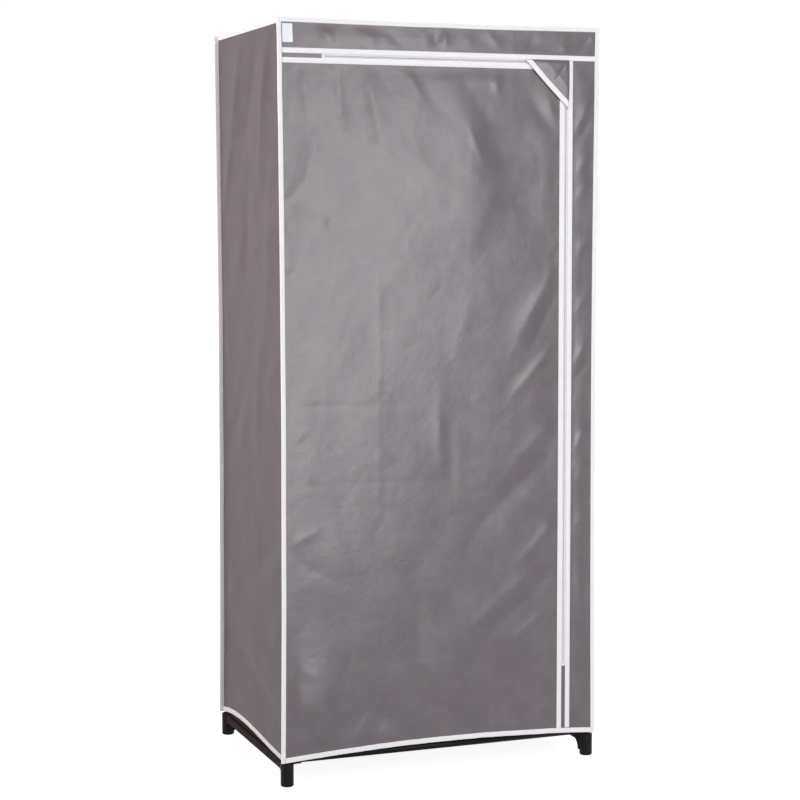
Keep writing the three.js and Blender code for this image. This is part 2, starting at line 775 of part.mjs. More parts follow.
// Frame: moulded base end on the +X side, with feet, side rail and sockets.
function baseEnd() {
  const footX = coverWidth / 2 - footInsetX;
  const footFrontY = frontY + footInsetY;
  const footBackY = backY - footInsetY;
  const profile = [
    new THREE.Vector2(0, 0),
    new THREE.Vector2(footRadius - footRound, 0),
    new THREE.Vector2(footRadius, footRound),
    new THREE.Vector2(footRadius, footHeight),
    new THREE.Vector2(0, footHeight),
  ];
  const foot = (y) => new THREE.LatheGeometry(profile, footSides).rotateX(Math.PI / 2).translate(footX, y, 0);
  const start = footFrontY + footRadius;
  const end = footBackY - footRadius;
  const filletBottom = railBottom - railFillet;
  const outline = new THREE.Shape();
  outline.moveTo(footFrontY, footHeight);
  outline.lineTo(footFrontY, filletBottom);
  outline.lineTo(start, filletBottom);
  outline.absarc(start + railFillet, filletBottom, railFillet, Math.PI, Math.PI / 2, true);
  outline.absarc(end - railFillet, filletBottom, railFillet, Math.PI / 2, 0, true);
  outline.lineTo(footBackY, filletBottom);
  outline.lineTo(footBackY, footHeight);
  const railX = coverWidth / 2 - railInner;
  const railWidth = railInner - railOuter;
  const rail = new THREE.ExtrudeGeometry(outline, {
    depth: railWidth,
    bevelEnabled: false,
    curveSegments: filletSteps,
  });
  rail.rotateX(Math.PI / 2).rotateZ(Math.PI / 2).translate(railX, 0, 0);
  const socketTop = baseTop + socketDepth;
  const bossInner = endOuter - endWidth - bossDepth;
  const pieces = [
    rail,
    foot(footFrontY),
    foot(footBackY),
    block([endOuter - endWidth, endFront, footHeight - footRound], [endOuter, endBack, baseTop]),
  ];
  const holes = [];
  for (const y of [postFrontY, postBackY]) {
    pieces.push(uprightBar(socketRadius, postX, y, footHeight, socketTop));
    pieces.push(levelBar(bossRadius, bossInner, postX, y, baseRailHeight));
    holes.push(uprightBar(tubeRadius + clearance, postX, y, baseTop, socketTop + socketDepth));
    holes.push(levelBar(tubeRadius + clearance, 0, endOuter - endWidth, y, baseRailHeight));
  }
  return cut(join(pieces), holes);
}

// Moulded top end on the +X side, with its sockets and the block that holds the hanging rail.
function topEnd() {
  const socketBottom = topEndBottom - topSocketDrop;
  const inner = endOuter - endWidth;
  const bossInner = inner - bossDepth;
  const hangerBottom = hangerZ - tubeRadius - hangerWall;
  const pieces = [
    block([inner, endFront, topEndBottom], [endOuter, endBack, topEndTop]),
    block(
      [inner, middleY - hangerBlock / 2, hangerBottom],
      [inner + hangerSeat + hangerWall, middleY + hangerBlock / 2, topEndTop - clearance],
    ),
  ];
  const holes = [levelBar(tubeRadius + clearance, 0, inner + hangerSeat, middleY, hangerZ)];
  for (const y of [postFrontY, postBackY]) {
    pieces.push(uprightBar(socketRadius, postX, y, socketBottom, topEndTop - clearance));
    pieces.push(levelBar(bossRadius, bossInner, postX, y, topRailZ));
    holes.push(uprightBar(tubeRadius + clearance, postX, y, socketBottom - socketDepth, topEndBottom));
    holes.push(levelBar(tubeRadius + clearance, 0, inner, y, topRailZ));
  }
  return cut(join(pieces), holes);
}

// A level tube between the two ends.
function levelTube(halfLength, y, z) {
  const tube = pipe(tubeRadius, tubeRadius - tubeWall, 2 * halfLength);
  return tube.rotateY(Math.PI / 2).translate(-halfLength, y, z);
}

function addFrame() {
  const baseRight = baseEnd();
  const topRight = topEnd();
  add("base_end_right", plastic, baseRight);
  add("base_end_left", plastic, mirrored(baseRight));
  add("top_end_right", plastic, topRight);
  add("top_end_left", plastic, mirrored(topRight));
  const inner = endOuter - endWidth;
  add("base_rail_front", steel, levelTube(inner - clearance, postFrontY, baseRailHeight));
  add("base_rail_rear", steel, levelTube(inner - clearance, postBackY, baseRailHeight));
  add("top_rail_front", steel, levelTube(inner - clearance, postFrontY, topRailZ));
  add("top_rail_rear", steel, levelTube(inner - clearance, postBackY, topRailZ));
  add("hanging_rail", steel, levelTube(inner + hangerSeat - clearance, middleY, hangerZ));
  addPosts();
  const floorX = inner - bossDepth - clearance;
  const floorZ = baseTop + clearance;
  add("floor_cloth", cloth, block(
    [-floorX, postFrontY - tubeRadius, floorZ],
    [floorX, postBackY + tubeRadius, floorZ + clothThickness],
  ));
}

// Each corner post: a lower and an upper tube with a coupling between them.
function addPosts() {
  const postBottom = baseTop + clearance;
  const postTop = topEndBottom - clearance;
  const joint = (postBottom + postTop) / 2;
  const lip = couplingLip / 2;
  const corners = [
    ["front_left", -postX, postFrontY],
    ["front_right", postX, postFrontY],
    ["back_left", -postX, postBackY],
    ["back_right", postX, postBackY],
  ];
  const lowerLength = joint - lip - clearance - postBottom;
  const upperStart = joint + lip + clearance;
  for (const [name, x, y] of corners) {
    const lower = pipe(tubeRadius, tubeRadius - tubeWall, lowerLength);
    const upper = pipe(tubeRadius, tubeRadius - tubeWall, postTop - upperStart);
    const sleeve = pipe(socketRadius, tubeRadius + clearance, couplingLength);
    const stop = pipe(socketRadius, tubeRadius - tubeWall, couplingLip);
    const coupling = join([
      sleeve.translate(0, 0, -couplingLength / 2),
      stop.translate(0, 0, -lip),
    ]);
    add("post_lower_" + name, steel, lower.translate(x, y, postBottom));
    add("post_upper_" + name, steel, upper.translate(x, y, upperStart));
    add("post_coupling_" + name, plastic, coupling.translate(x, y, joint));
  }
}

addFrame();
addFrontCloth();
addSideCloth("cover_left", -1);
addSideCloth("cover_right", 1);
addBackAndRoof();
addSeams();
addHems();
addFrontBindings();
addZips();
addSliders();
addCornerGuard();
addLabel();

export default wardrobe;
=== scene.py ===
"""Looks of the portable fabric wardrobe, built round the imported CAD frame.

Metres, the frame's own axes: +Z up, the front faces -Y. Cloth, bindings and zips are made as flat
goods first, with a UV map in metres along and across the goods, and are then put in place.
"""
import math

import bmesh
import bpy
import numpy as np
from mathutils import Matrix, Quaternion, Vector


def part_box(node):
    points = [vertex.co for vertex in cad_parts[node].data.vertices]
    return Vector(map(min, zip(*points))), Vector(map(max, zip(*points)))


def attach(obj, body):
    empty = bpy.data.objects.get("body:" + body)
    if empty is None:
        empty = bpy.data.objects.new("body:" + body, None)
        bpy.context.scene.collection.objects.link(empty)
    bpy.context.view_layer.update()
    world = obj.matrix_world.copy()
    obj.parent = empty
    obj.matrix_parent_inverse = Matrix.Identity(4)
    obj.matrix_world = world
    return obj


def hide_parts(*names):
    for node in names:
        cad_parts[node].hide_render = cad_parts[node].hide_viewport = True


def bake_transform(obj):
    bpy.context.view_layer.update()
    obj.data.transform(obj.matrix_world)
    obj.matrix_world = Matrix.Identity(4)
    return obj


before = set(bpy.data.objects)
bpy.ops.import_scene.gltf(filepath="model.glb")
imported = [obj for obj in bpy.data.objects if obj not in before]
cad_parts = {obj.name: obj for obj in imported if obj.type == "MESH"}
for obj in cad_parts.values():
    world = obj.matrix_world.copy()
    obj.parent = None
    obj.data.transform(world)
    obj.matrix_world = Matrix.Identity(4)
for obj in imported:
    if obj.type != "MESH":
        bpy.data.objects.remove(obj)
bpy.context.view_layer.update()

MM = 0.001
SCENE = bpy.context.scene
OUT_FRONT = (0, -1, 0)
OUT_BACK = (0, 1, 0)
OUT_LEFT = (-1, 0, 0)
OUT_RIGHT = (1, 0, 0)
OUT_UP = (0, 0, 1)
OUT_DOWN = (0, 0, -1)

# Places taken from the CAD frame
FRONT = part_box("cover_header")[0].y
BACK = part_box("cover_back")[1].y
MIDDLE = (FRONT + BACK) / 2
DEPTH = BACK - FRONT
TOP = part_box("roof_seam_front")[1].z
HALF_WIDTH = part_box("roof_seam_front")[1].x
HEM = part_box("seam_front_left")[0].z
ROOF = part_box("cover_roof")[1].z
SLOT_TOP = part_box("header_binding")[0].z
SLOT_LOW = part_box("flap_top_binding")[1].z
SLOT_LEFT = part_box("flap_side_binding")[1].x
SLOT_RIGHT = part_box("strip_binding")[0].x
ZIP_Z = (SLOT_TOP + SLOT_LOW) / 2
ZIP_X = (SLOT_LEFT + SLOT_RIGHT) / 2
TOP_ZIP_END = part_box("zip_top_fixed")[0].x
TOP_ZIP_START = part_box("zip_top_fixed")[1].x
SIDE_ZIP_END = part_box("zip_side_fixed")[0].z
SIDE_ZIP_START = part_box("zip_side_fixed")[1].z
SEAM = 9.2 * MM  # how far a bound seam stands out
GAP = 0.3 * MM  # between pieces that touch
SIDE = HALF_WIDTH - SEAM - GAP
BAND = 10.5 * MM  # width of a binding
STITCH_IN = 2.2 * MM  # a hem's stitches, from its upper edge
CLOTH = 0.8 * MM  # thickness of the cloth
WAIST = 4.5 * MM  # how far the sides are drawn in at half height
EDGE = 0.9 * MM  # how far the cloth stays back inside its folded binding
CORNER = HEM - 4.4 * MM  # the hem at the wardrobe's corners
HEM_RISE = 13 * MM
CLOTH_LOW = HEM + 1.5 * MM  # where the flat cloth starts, inside the hem


# numbers that vary over a surface

def smooth(low, high, value):
    share = np.clip((np.asarray(value, float) - low) / (high - low), 0, 1)
    return share * share * (3 - 2 * share)


def hashed(i, j, seed):
    n = (i.astype(np.int64) * 73856093) ^ (j.astype(np.int64) * 19349663) ^ np.int64(seed * 83492791)
    n = ((n ^ (n >> 13)) * 1274126177) & 0x7FFFFFFF
    return ((n ^ (n >> 15)) % 10007) / 5003.0 - 1


def noise(x, y, seed):
    """Smooth noise from -1 to 1, one feature to a unit."""
    x, y = np.broadcast_arrays(np.asarray(x, float), np.asarray(y, float))
    i, j = np.floor(x), np.floor(y)
    f, g = x - i, y - j
    f, g = f * f * f * (f * (6 * f - 15) + 10), g * g * g * (g * (6 * g - 15) + 10)
    low = hashed(i, j, seed) * (1 - f) + hashed(i + 1, j, seed) * f
    high = hashed(i, j + 1, seed) * (1 - f) + hashed(i + 1, j + 1, seed) * f
    return low * (1 - g) + high * g


def creases(x, y, size, seed):
    """Creased cloth: shallow facets that meet in crisp lines, from 0 to about 1."""
    total, weight = 0.0, 0.0
    for octave in range(4):
        scale, share = size / 1.9 ** octave, 0.55 ** octave
        turn = 0.7 + 1.9 * octave
        a = (x * math.cos(turn) + y * math.sin(turn)) / scale
        b = (y * math.cos(turn) - x * math.sin(turn)) / scale
        a = a + 0.6 * noise(b * 0.7, a * 0.7, seed + 40 + octave)
        total = total + share * np.sqrt(noise(a, b * 0.8, seed + octave) ** 2 + 0.0025)
        weight += share
    return total / weight


FOLD_SCALE = 1.35


def ridges(x, y, folds):
    """Sum of folds (x0, y0, x1, y1, width, height, lean) in mm, at places in metres."""
    total = np.zeros(np.broadcast(x, y).shape)
    for x0, y0, x1, y1, width, height, lean in folds:
        dx, dy = (x1 - x0) * MM, (y1 - y0) * MM
        length = math.hypot(dx, dy)
        along = np.clip(((x - x0 * MM) * dx + (y - y0 * MM) * dy) / length ** 2, 0, 1)
        px, py = x - x0 * MM - along * dx, y - y0 * MM - along * dy
        side = (px * -dy + py * dx) / length
        away = np.hypot(px, py)
        reach = width * MM * np.where(side > 0, 1 + lean, 1 - lean)
        crest = np.sin(math.pi * (0.1 + 0.8 * along)) ** 0.8
        total += FOLD_SCALE * height * MM * crest * np.exp(-(away / reach) ** 1.5)
    return total


def puckers(distance, along, seed, height=0.5, reach=0.024):
    """Short gathers that a seam draws into the cloth beside it."""
    step = 0.017
    wave = noise(along / step, distance * 9, seed) + 0.5 * noise(along / step * 2.3, distance * 12, seed + 3)
    strength = 0.5 + 0.5 * noise(along / 0.13, 0.5, seed + 5)
    first = distance / 0.006
    shape = first * np.exp(1 - first) * 0.5 + np.exp(-distance / reach) * smooth(0, 0.008, distance)
    return height * MM * wave * strength * shape


def waist(z):
    return WAIST * np.sin(math.pi * np.clip((z - HEM) / (ROOF - HEM), 0, 1))


def hem_wave(along, width, seed):
    wave = 0.8 * MM * noise(along / 0.09, 0.3, seed) + 0.25 * MM * noise(along / 0.014, 0.7, seed + 30)
    return wave * np.clip(1 - (2 * along / width) ** 8, 0, 1)


def front_hem(x, seed=11):
    """Height of the hem's lower edge along the front and, with its own seed, along the back."""
    return CORNER + HEM_RISE * (1 - (x / HALF_WIDTH) ** 2) + hem_wave(x, 2 * HALF_WIDTH, seed)


def side_hem(y, seed):
    """The side's hem arches most a third of the way from the back corner."""
    share = np.clip((BACK - y) / DEPTH, 0, 1)
    arch = 6.75 * share * (1 - share) ** 2
    return CORNER + HEM_RISE * arch + hem_wave(y - MIDDLE, DEPTH, seed)


def hem_share(z):
    """How much of the hem's curve the cloth follows: all of it at the hem, none from 146 mm up."""
    return np.clip(1 - (z - HEM) / 0.146, 0, 1)


def drifted(points):
    """The small unevenness of the whole sewn cover: out a little here and there, and the roof sags."""
    p = np.array(points, float).reshape(-1, 3)
    x, y, z = p.T
    near_zip = np.minimum(np.abs(z - ZIP_Z), np.abs(x - ZIP_X))
    away = smooth(0.02, 0.09, near_zip)
    calm = np.where(y < MIDDLE, away, 1)
    out = 0.5 + 0.5 * noise(z / 0.31, y / 0.4 + np.sign(x) * 7, 21)
    on_front = np.clip((MIDDLE - y) / (DEPTH / 2), 0, 1) ** 8
    dx = x / SIDE * 1.3 * MM * out * (1 - 0.8 * on_front * (1 - away))
    dy = (y - MIDDLE) / (DEPTH / 2) * 1.2 * MM * calm * (0.5 + 0.5 * noise(x / 0.24, z / 0.3, 22))
    across = np.clip(1 - (x / 0.318) ** 2, 0, 1)
    deep = np.clip(1 - ((y - MIDDLE) / 0.2) ** 2, 0, 1)
    dz = -smooth(SLOT_TOP + 12 * MM, ROOF, z) * across * (1.8 * MM + 5.5 * MM * deep)
    dz = dz + smooth(ROOF - 0.01, ROOF, z) * across * 0.5 * MM * noise(x / 0.07, y / 0.07, 23)
    return p + np.stack([dx, dy, dz], 1)


# how a piece is entered: the CAD parts it stands for are hidden, and a fixed piece rides on its body

def fixed(piece, slot, *nodes, body="cabinet"):
    if nodes:
        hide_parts(*nodes)
    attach(piece, body)
    return piece


def folding(piece, slot, *nodes):
    """A piece on the flap: hides the CAD parts it stands for and bakes its place into its mesh."""
    if nodes:
        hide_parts(*nodes)
    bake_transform(piece)
    return piece


# meshes

def new_object(name, mesh):
    obj = bpy.data.objects.new(name, mesh)
    SCENE.collection.objects.link(obj)
    return obj


def mesh_piece(name, points, faces, uvs=None, material=None, sharp=40):
    """A piece from points and faces, with one UV pair for each corner of each face, in order."""
    mesh = bpy.data.meshes.new(name)
    mesh.from_pydata([tuple(p) for p in points], [], faces)
    if uvs is not None:
        layer = mesh.uv_layers.new(name="goods")
        layer.data.foreach_set("uv", np.asarray(uvs, np.float32).ravel())
    mesh.shade_smooth()
    mesh.set_sharp_from_angle(angle=math.radians(sharp))
    if material:
        mesh.materials.append(material)
    return new_object(name, mesh)


def evaluated(obj, **options):
    """The mesh that the modifiers make."""
    bpy.context.view_layer.update()
    graph = bpy.context.evaluated_depsgraph_get()
    return bpy.data.meshes.new_from_object(obj.evaluated_get(graph), depsgraph=graph, **options)


def baked(obj):
    """Turns what the modifiers make into the piece's plain mesh."""
    made = evaluated(obj, preserve_all_data_layers=True)
    obj.modifiers.clear()
    obj.data = made
    return obj


def sheet_piece(name, us, vs, place, material, keep=None, thickness=CLOTH):
    """Cloth from a grid of flat places: place(u, v) gives the outer face, and keep(u, v) leaves cells out."""
    u, v = np.meshgrid(us, vs)
    points = place(u.ravel(), v.ravel())
    columns = len(us)
    middle_u, middle_v = (us[1:] + us[:-1]) / 2, (vs[1:] + vs[:-1]) / 2
    cell_u, cell_v = np.meshgrid(middle_u, middle_v)
    kept = np.ones(cell_u.shape, bool) if keep is None else keep(cell_u, cell_v)
    row, column = np.nonzero(kept)
    a = row * columns + column
    faces = np.stack([a, a + 1, a + 1 + columns, a + columns], 1)
    used = np.unique(faces)
    index = np.zeros(len(points), int)
    index[used] = np.arange(len(used))
    flat = np.stack([u.ravel(), v.ravel()], 1)
    obj = mesh_piece(name, points[used], index[faces].tolist(), flat[faces].reshape(-1, 2), material)
    wall = obj.modifiers.new("wall", "SOLIDIFY")
    wall.thickness = thickness
    wall.offset = -1
    wall.use_even_offset = False
    baked(obj)
    obj.data.set_sharp_from_angle(angle=math.radians(40))
    return obj


def steps(low, high, step):
    return np.linspace(low, high, max(2, int(round((high - low) / step)) + 1))


def joined_steps(*runs):
    """One rising list from several, with their shared ends once."""
    return np.unique(np.round(np.concatenate(runs), 7))


def path_between(start, end):
    """Points about 6 mm apart from start to end."""
    return np.linspace(start, end, max(2, int(np.linalg.norm(np.subtract(end, start)) / 0.006)))


def sweep(name, centres, across, outward, section, material, drift=True, sharp=50):
    """A closed section [(across, out)] carried along a path. Its UV runs along the path and round it."""
    centres, across, outward = (np.asarray(a, float) for a in (centres, across, outward))
    across = np.broadcast_to(across, centres.shape)
    outward = np.broadcast_to(outward, centres.shape)
    section = np.asarray(section, float)
    if section.ndim == 2:
        section = np.broadcast_to(section, (len(centres), *section.shape))
    count, sides = section.shape[:2]
    sideways = across[:, None] * section[..., :1]
    points = (centres[:, None] + sideways + outward[:, None] * section[..., 1:]).reshape(-1, 3)
    if drift:
        points = drifted(points)
    run = np.concatenate([[0], np.cumsum(np.linalg.norm(np.diff(centres, axis=0), axis=1))])
    turn = np.linalg.norm(np.diff(np.vstack([section[0], section[0][:1]]), axis=0), axis=1)
    turn = np.concatenate([[0], np.cumsum(turn)])
    faces, uvs = [], []
    for i in range(count - 1):
        for j in range(sides):
            k = (j + 1) % sides
            faces.append((i * sides + j, i * sides + k, (i + 1) * sides + k, (i + 1) * sides + j))
            uvs += [(run[i], turn[j]), (run[i], turn[j + 1])]
            uvs += [(run[i + 1], turn[j + 1]), (run[i + 1], turn[j])]
    faces.append(tuple(reversed(range(sides))))
    faces.append(tuple((count - 1) * sides + j for j in range(sides)))
    uvs += [tuple(section[0][j]) for j in reversed(range(sides))]
    uvs += [tuple(section[-1][j]) for j in range(sides)]
    return outwards(mesh_piece(name, points, faces, uvs, material, sharp))


def outwards(obj):
    """Turns the faces outwards and keeps the UV map with them."""
    work = bmesh.new()
    work.from_mesh(obj.data)
    bmesh.ops.recalc_face_normals(work, faces=work.faces)
    work.to_mesh(obj.data)
    work.free()
    return obj


def tape_section(width, thickness, grooves=(), crown=0.25 * MM, bottom=0.0, both=False, count=15):
    """Section of a tape that lies flat: rounded edges, a soft crown, a groove at each line of stitches."""
    a = width * (0.5 - 0.5 * np.cos(np.linspace(0, math.pi, count)))
    edge = np.minimum(a, width - a)
    round_edge = np.sqrt(np.clip(1 - (1 - np.clip(edge / (thickness * 0.55), 0, 1)) ** 2, 0, 1))
    top = thickness * (0.35 + 0.65 * round_edge) + crown * np.sin(math.pi * a / width) ** 0.7
    for groove in grooves:
        top = top - 0.35 * MM * np.exp(-((a - groove) / (0.9 * MM)) ** 2)
    upper = [(x, bottom + o) for x, o in zip(a, top)]
    if both:
        lower = [(x, bottom - o) for x, o in zip(a[::-1], top[::-1])]
    else:
        lower = [(width, bottom), (0, bottom)]
    return upper + lower


def lathe(profile, start, axis, count, closed=False):
    """bmesh of a profile [(radius, along)] turned about an axis: a closed ring, or open to the axis."""
    axis = Vector(axis).normalized()
    right = axis.orthogonal().normalized()
    ahead = axis.cross(right)
    work = bmesh.new()
    rings = []
    for radius, along in profile:
        middle = Vector(start) + axis * along
        if radius < 1e-7:
            rings.append([work.verts.new(middle)])
            continue
        angles = [2 * math.pi * k / count for k in range(count)]
        spokes = [right * math.cos(t) + ahead * math.sin(t) for t in angles]
        rings.append([work.verts.new(middle + spoke * radius) for spoke in spokes])
    pairs = list(zip(rings, rings[1:] + rings[:1])) if closed else list(zip(rings, rings[1:]))
    for low, high in pairs:
        for k in range(count):
            m = (k + 1) % count
            if len(low) == 1:
                work.faces.new((low[0], high[m], high[k]))
            elif len(high) == 1:
                work.faces.new((low[k], low[m], high[0]))
            else:
                work.faces.new((low[k], low[m], high[m], high[k]))
    bmesh.ops.recalc_face_normals(work, faces=work.faces)
    return work


def from_bmesh(name, work, material, sharp=35):
    mesh = bpy.data.meshes.new(name)
    work.to_mesh(mesh)
    work.free()
    mesh.shade_smooth()
    mesh.set_sharp_from_angle(angle=math.radians(sharp))
    if material:
        mesh.materials.append(material)
    return new_object(name, mesh)


def merged(name, objects, material=None):
    """Several objects as one piece."""
    work = bmesh.new()
    for obj in objects:
        work.from_mesh(obj.data)
    mesh = bpy.data.meshes.new(name)
    work.to_mesh(mesh)
    work.free()
    mats = [m for obj in objects for m in obj.data.materials] if material is None else [material]
    if mats:
        mesh.materials.append(mats[0])
    for obj in objects:
        bpy.data.objects.remove(obj)
    return new_object(name, mesh)


def combined(name, adds, cuts, material):
    """Solids joined into one and cut by others."""
    body = adds[0]
    for operation, others in (("UNION", adds[1:]), ("DIFFERENCE", cuts)):
        for other in others:
            step = body.modifiers.new("join", "BOOLEAN")
            step.operation = operation
            step.object = other
            step.solver = "EXACT"
    baked(body)
    for other in adds[1:] + cuts:
        bpy.data.objects.remove(other)
    body.name = name
    body.data.materials.clear()
    body.data.materials.append(material)
    body.data.shade_smooth()
    body.data.set_sharp_from_angle(angle=math.radians(35))
    return body


def block(low, high):
    """A box between two corners, to be joined or cut."""
    work = bmesh.new()
    bmesh.ops.create_cube(work, size=1)
    for v in work.verts:
        v.co = Vector([(low[k] + high[k]) / 2 + v.co[k] * (high[k] - low[k]) for k in range(3)])
    return from_bmesh("block", work, None)


def mirrored(obj, name):
    """The other hand of a piece, across the middle plane."""
    work = bmesh.new()
    work.from_mesh(obj.data)
    for v in work.verts:
        v.co.x = -v.co.x
    bmesh.ops.reverse_faces(work, faces=work.faces)
    other = from_bmesh(name, work, obj.data.materials[0])
    for material in obj.data.materials[1:]:
        other.data.materials.append(material)
    return other


def frame_matrix(x_axis, y_axis, z_axis, place):
    """The matrix that has these three axes, at a place."""
    matrix = Matrix((x_axis, y_axis, z_axis)).transposed().to_4x4()
    matrix.translation = place
    return matrix


# nodes, and the groups that several finishes share

class Wires:
    """Short ways to add nodes to a tree and to join them."""

    def __init__(self, tree):
        self.tree = tree

    def feed(self, socket, value):
        if isinstance(value, bpy.types.NodeSocket):
            self.tree.links.new(value, socket)
        elif value is not None:
            socket.default_value = value

    def fill(self, node, inputs):
        for key, value in inputs.items():
            self.feed(node.inputs[key], value)

    def node(self, kind, inputs=None, **settings):
        made = self.tree.nodes.new(kind)
        for key, value in settings.items():
            setattr(made, key, value)
        self.fill(made, inputs or {})
        return made

    def first(self, kind, inputs=None, **settings):
        """A new node's first output."""
        return self.node(kind, inputs, **settings).outputs[0]

    def math(self, operation, a, b=None):
        return self.first("ShaderNodeMath", {0: a, 1: b}, operation=operation)

    def times(self, a, b):
        return self.math("MULTIPLY", a, b)

    def vector(self, x=0.0, y=0.0, z=0.0):
        return self.first("ShaderNodeCombineXYZ", {0: x, 1: y, 2: z})

    def remap(self, value, low, high, to_low=0.0, to_high=1.0):
        inputs = {0: value, 1: low, 2: high, 3: to_low, 4: to_high}
        return self.first("ShaderNodeMapRange", inputs, interpolation_type="SMOOTHSTEP")

    def mix(self, factor, a, b):
        return self.node("ShaderNodeMix", {0: factor, 6: a, 7: b}, data_type="RGBA").outputs[2]

    def noise(self, vector, scale, detail=3.0, rough=0.55, distort=0.0):
        return self.node("ShaderNodeTexNoise", {
            "Vector": vector, "Scale": scale, "Detail": detail, "Roughness": rough, "Distortion": distort,
        }).outputs["Fac"]

    def stretched(self, vector, scale, turn=0.0):
        return self.first("ShaderNodeMapping", {"Vector": vector, "Scale": scale, "Rotation": (0, 0, turn)})

    def use(self, group, inputs):
        return self.node("ShaderNodeGroup", inputs, node_tree=group).outputs


def group_tree(name, numbers, results):
    """A shader group that takes a vector and some numbers and gives numbers. With its wires and ends."""
    tree = bpy.data.node_groups.new(name, "ShaderNodeTree")
    face = tree.interface
    face.new_socket(name="Vector", in_out="INPUT", socket_type="NodeSocketVector")
    for label, value in numbers.items():
        face.new_socket(name=label, in_out="INPUT", socket_type="NodeSocketFloat").default_value = value
    for label in results:
        face.new_socket(name=label, in_out="OUTPUT", socket_type="NodeSocketFloat")
    w = Wires(tree)
    return w, w.node("NodeGroupInput").outputs, w.node("NodeGroupOutput")


def make_bonded_fibre():
    """Spun-bonded cloth: rows of small pressed dots between loose fibres, and the clouds of an uneven web."""
    numbers = {"Dots": 520.0, "Clouds": 16.0}
    w, given, result = group_tree("bonded fibre", numbers, ("Height", "Pressed", "Web"))
    place = given["Vector"]
    turned = w.stretched(place, (1, 1, 1), math.radians(45))
    cell_inputs = {"Vector": turned, "Scale": given["Dots"], "Randomness": 0.06}
    cells = w.node("ShaderNodeTexVoronoi", cell_inputs, feature="F1")
    pressed = w.remap(cells.outputs["Distance"], 0.2, 0.36, 1.0, 0.0)
    fibres = [w.noise(w.stretched(place, (900, 5200, 1), turn), 1.0, 2.0) for turn in (0.35, -0.9)]
    loose = w.times(w.math("MAXIMUM", *fibres), 0.55)
    web = w.noise(place, given["Clouds"], 5.0, 0.62, 0.25)
    height = w.math("SUBTRACT", loose, w.times(pressed, 0.5))
    w.fill(result, {"Height": height, "Pressed": pressed, "Web": web})
    return w.tree


def make_ribbed_tape():
    """Woven tape: ribs across it, finer threads along it, and a slow change of tension."""
    numbers = {"Ribs": 1400.0, "Slant": 0.0}
    w, given, result = group_tree("ribbed tape", numbers, ("Height", "Shade"))
    parts = w.node("ShaderNodeSeparateXYZ", {0: given["Vector"]}).outputs
    along = w.math("ADD", parts[0], w.times(parts[1], given["Slant"]))
    ribs = w.math("SINE", w.times(along, w.times(given["Ribs"], 2 * math.pi)))
    threads = w.math("SINE", w.times(parts[1], w.times(given["Ribs"], 9.5)))
    woven = w.math("ADD", w.times(ribs, 0.35), w.times(threads, 0.15))
    slow = w.noise(given["Vector"], 60.0, 3.0)
    w.fill(result, {"Height": w.math("ADD", woven, w.times(slow, 0.6)), "Shade": slow})
    return w.tree


def make_handling_wear():
    """Dust and rubbing on hard parts: a mask in patches, and fine grain for the bump."""
    numbers = {"Grain": 900.0, "Patches": 14.0}
    w, given, result = group_tree("handling wear", numbers, ("Grain", "Wear", "Scratch"))
    grain = w.noise(given["Vector"], given["Grain"], 3.0, 0.6)
    patch = w.noise(given["Vector"], given["Patches"], 4.0, 0.6, 0.4)
    lines = w.noise(w.stretched(given["Vector"], (40, 40, 900), 0.2), 1.0, 4.0, 0.7)
    wear, scratch = w.remap(patch, 0.5, 0.72), w.remap(lines, 0.62, 0.7)
    w.fill(result, {"Grain": grain, "Wear": wear, "Scratch": scratch})
    return w.tree


BONDED_FIBRE = make_bonded_fibre()
RIBBED_TAPE = make_ribbed_tape()
HANDLING_WEAR = make_handling_wear()


# finishes

def srgb(red, green, blue, alpha=1.0):
    """A colour written as it looks on a screen, from 0 to 255."""
    def linear(value):
        value /= 255
        return value / 12.92 if value <= 0.04045 else ((value + 0.055) / 1.055) ** 2.4
    return (linear(red), linear(green), linear(blue), alpha)


def finish(name):
    """A new material with its wires and its one Principled shader."""
    material = bpy.data.materials.new(name)
    material.use_nodes = True
    material.node_tree.nodes.clear()
    w = Wires(material.node_tree)
    shader = w.node("ShaderNodeBsdfPrincipled")
    w.node("ShaderNodeOutputMaterial", {0: shader.outputs[0]})
    return material, w, shader


def bumped(w, shader, height, distance, strength, normal=None):
    inputs = {"Strength": strength, "Distance": distance, "Height": height, "Normal": normal}
    bump = w.first("ShaderNodeBump", inputs)
    w.fill(shader, {"Normal": bump})
    return bump


def goods_map(w):
    """The piece's own UV map, in metres along and across the goods."""
    return w.first("ShaderNodeUVMap", uv_map="goods")


def object_map(w):
    return w.node("ShaderNodeTexCoord").outputs["Object"]


def cloth_finish(name, colour, light, dark, roughness, shine):
    material, w, shader = finish(name)
    place = goods_map(w)
    fibre = w.use(BONDED_FIBRE, {"Vector": place})
    base = w.mix(w.remap(fibre["Web"], 0.3, 0.72), dark, light)
    base = w.mix(w.times(fibre["Pressed"], 0.16), base, colour)
    clouds = w.noise(w.stretched(place, (5, 3, 1), 0.3), 1.0, 4.0, 0.6)
    base = w.mix(w.remap(clouds, 0.3, 0.7, 0.0, 0.22), base, dark)
    rough = w.math("ADD", roughness, w.times(w.math("SUBTRACT", fibre["Web"], 0.5), 0.14))
    rough = w.math("SUBTRACT", rough, w.times(fibre["Pressed"], 0.08))
    w.fill(shader, {"Base Color": base, "Roughness": rough, "Specular IOR Level": shine})
    crumple = w.noise(place, 46.0, 5.0, 0.62, 0.6)
    broad = bumped(w, shader, crumple, 0.9 * MM, 0.4)
    bumped(w, shader, fibre["Height"], 0.09 * MM, 0.5, broad)
    return material


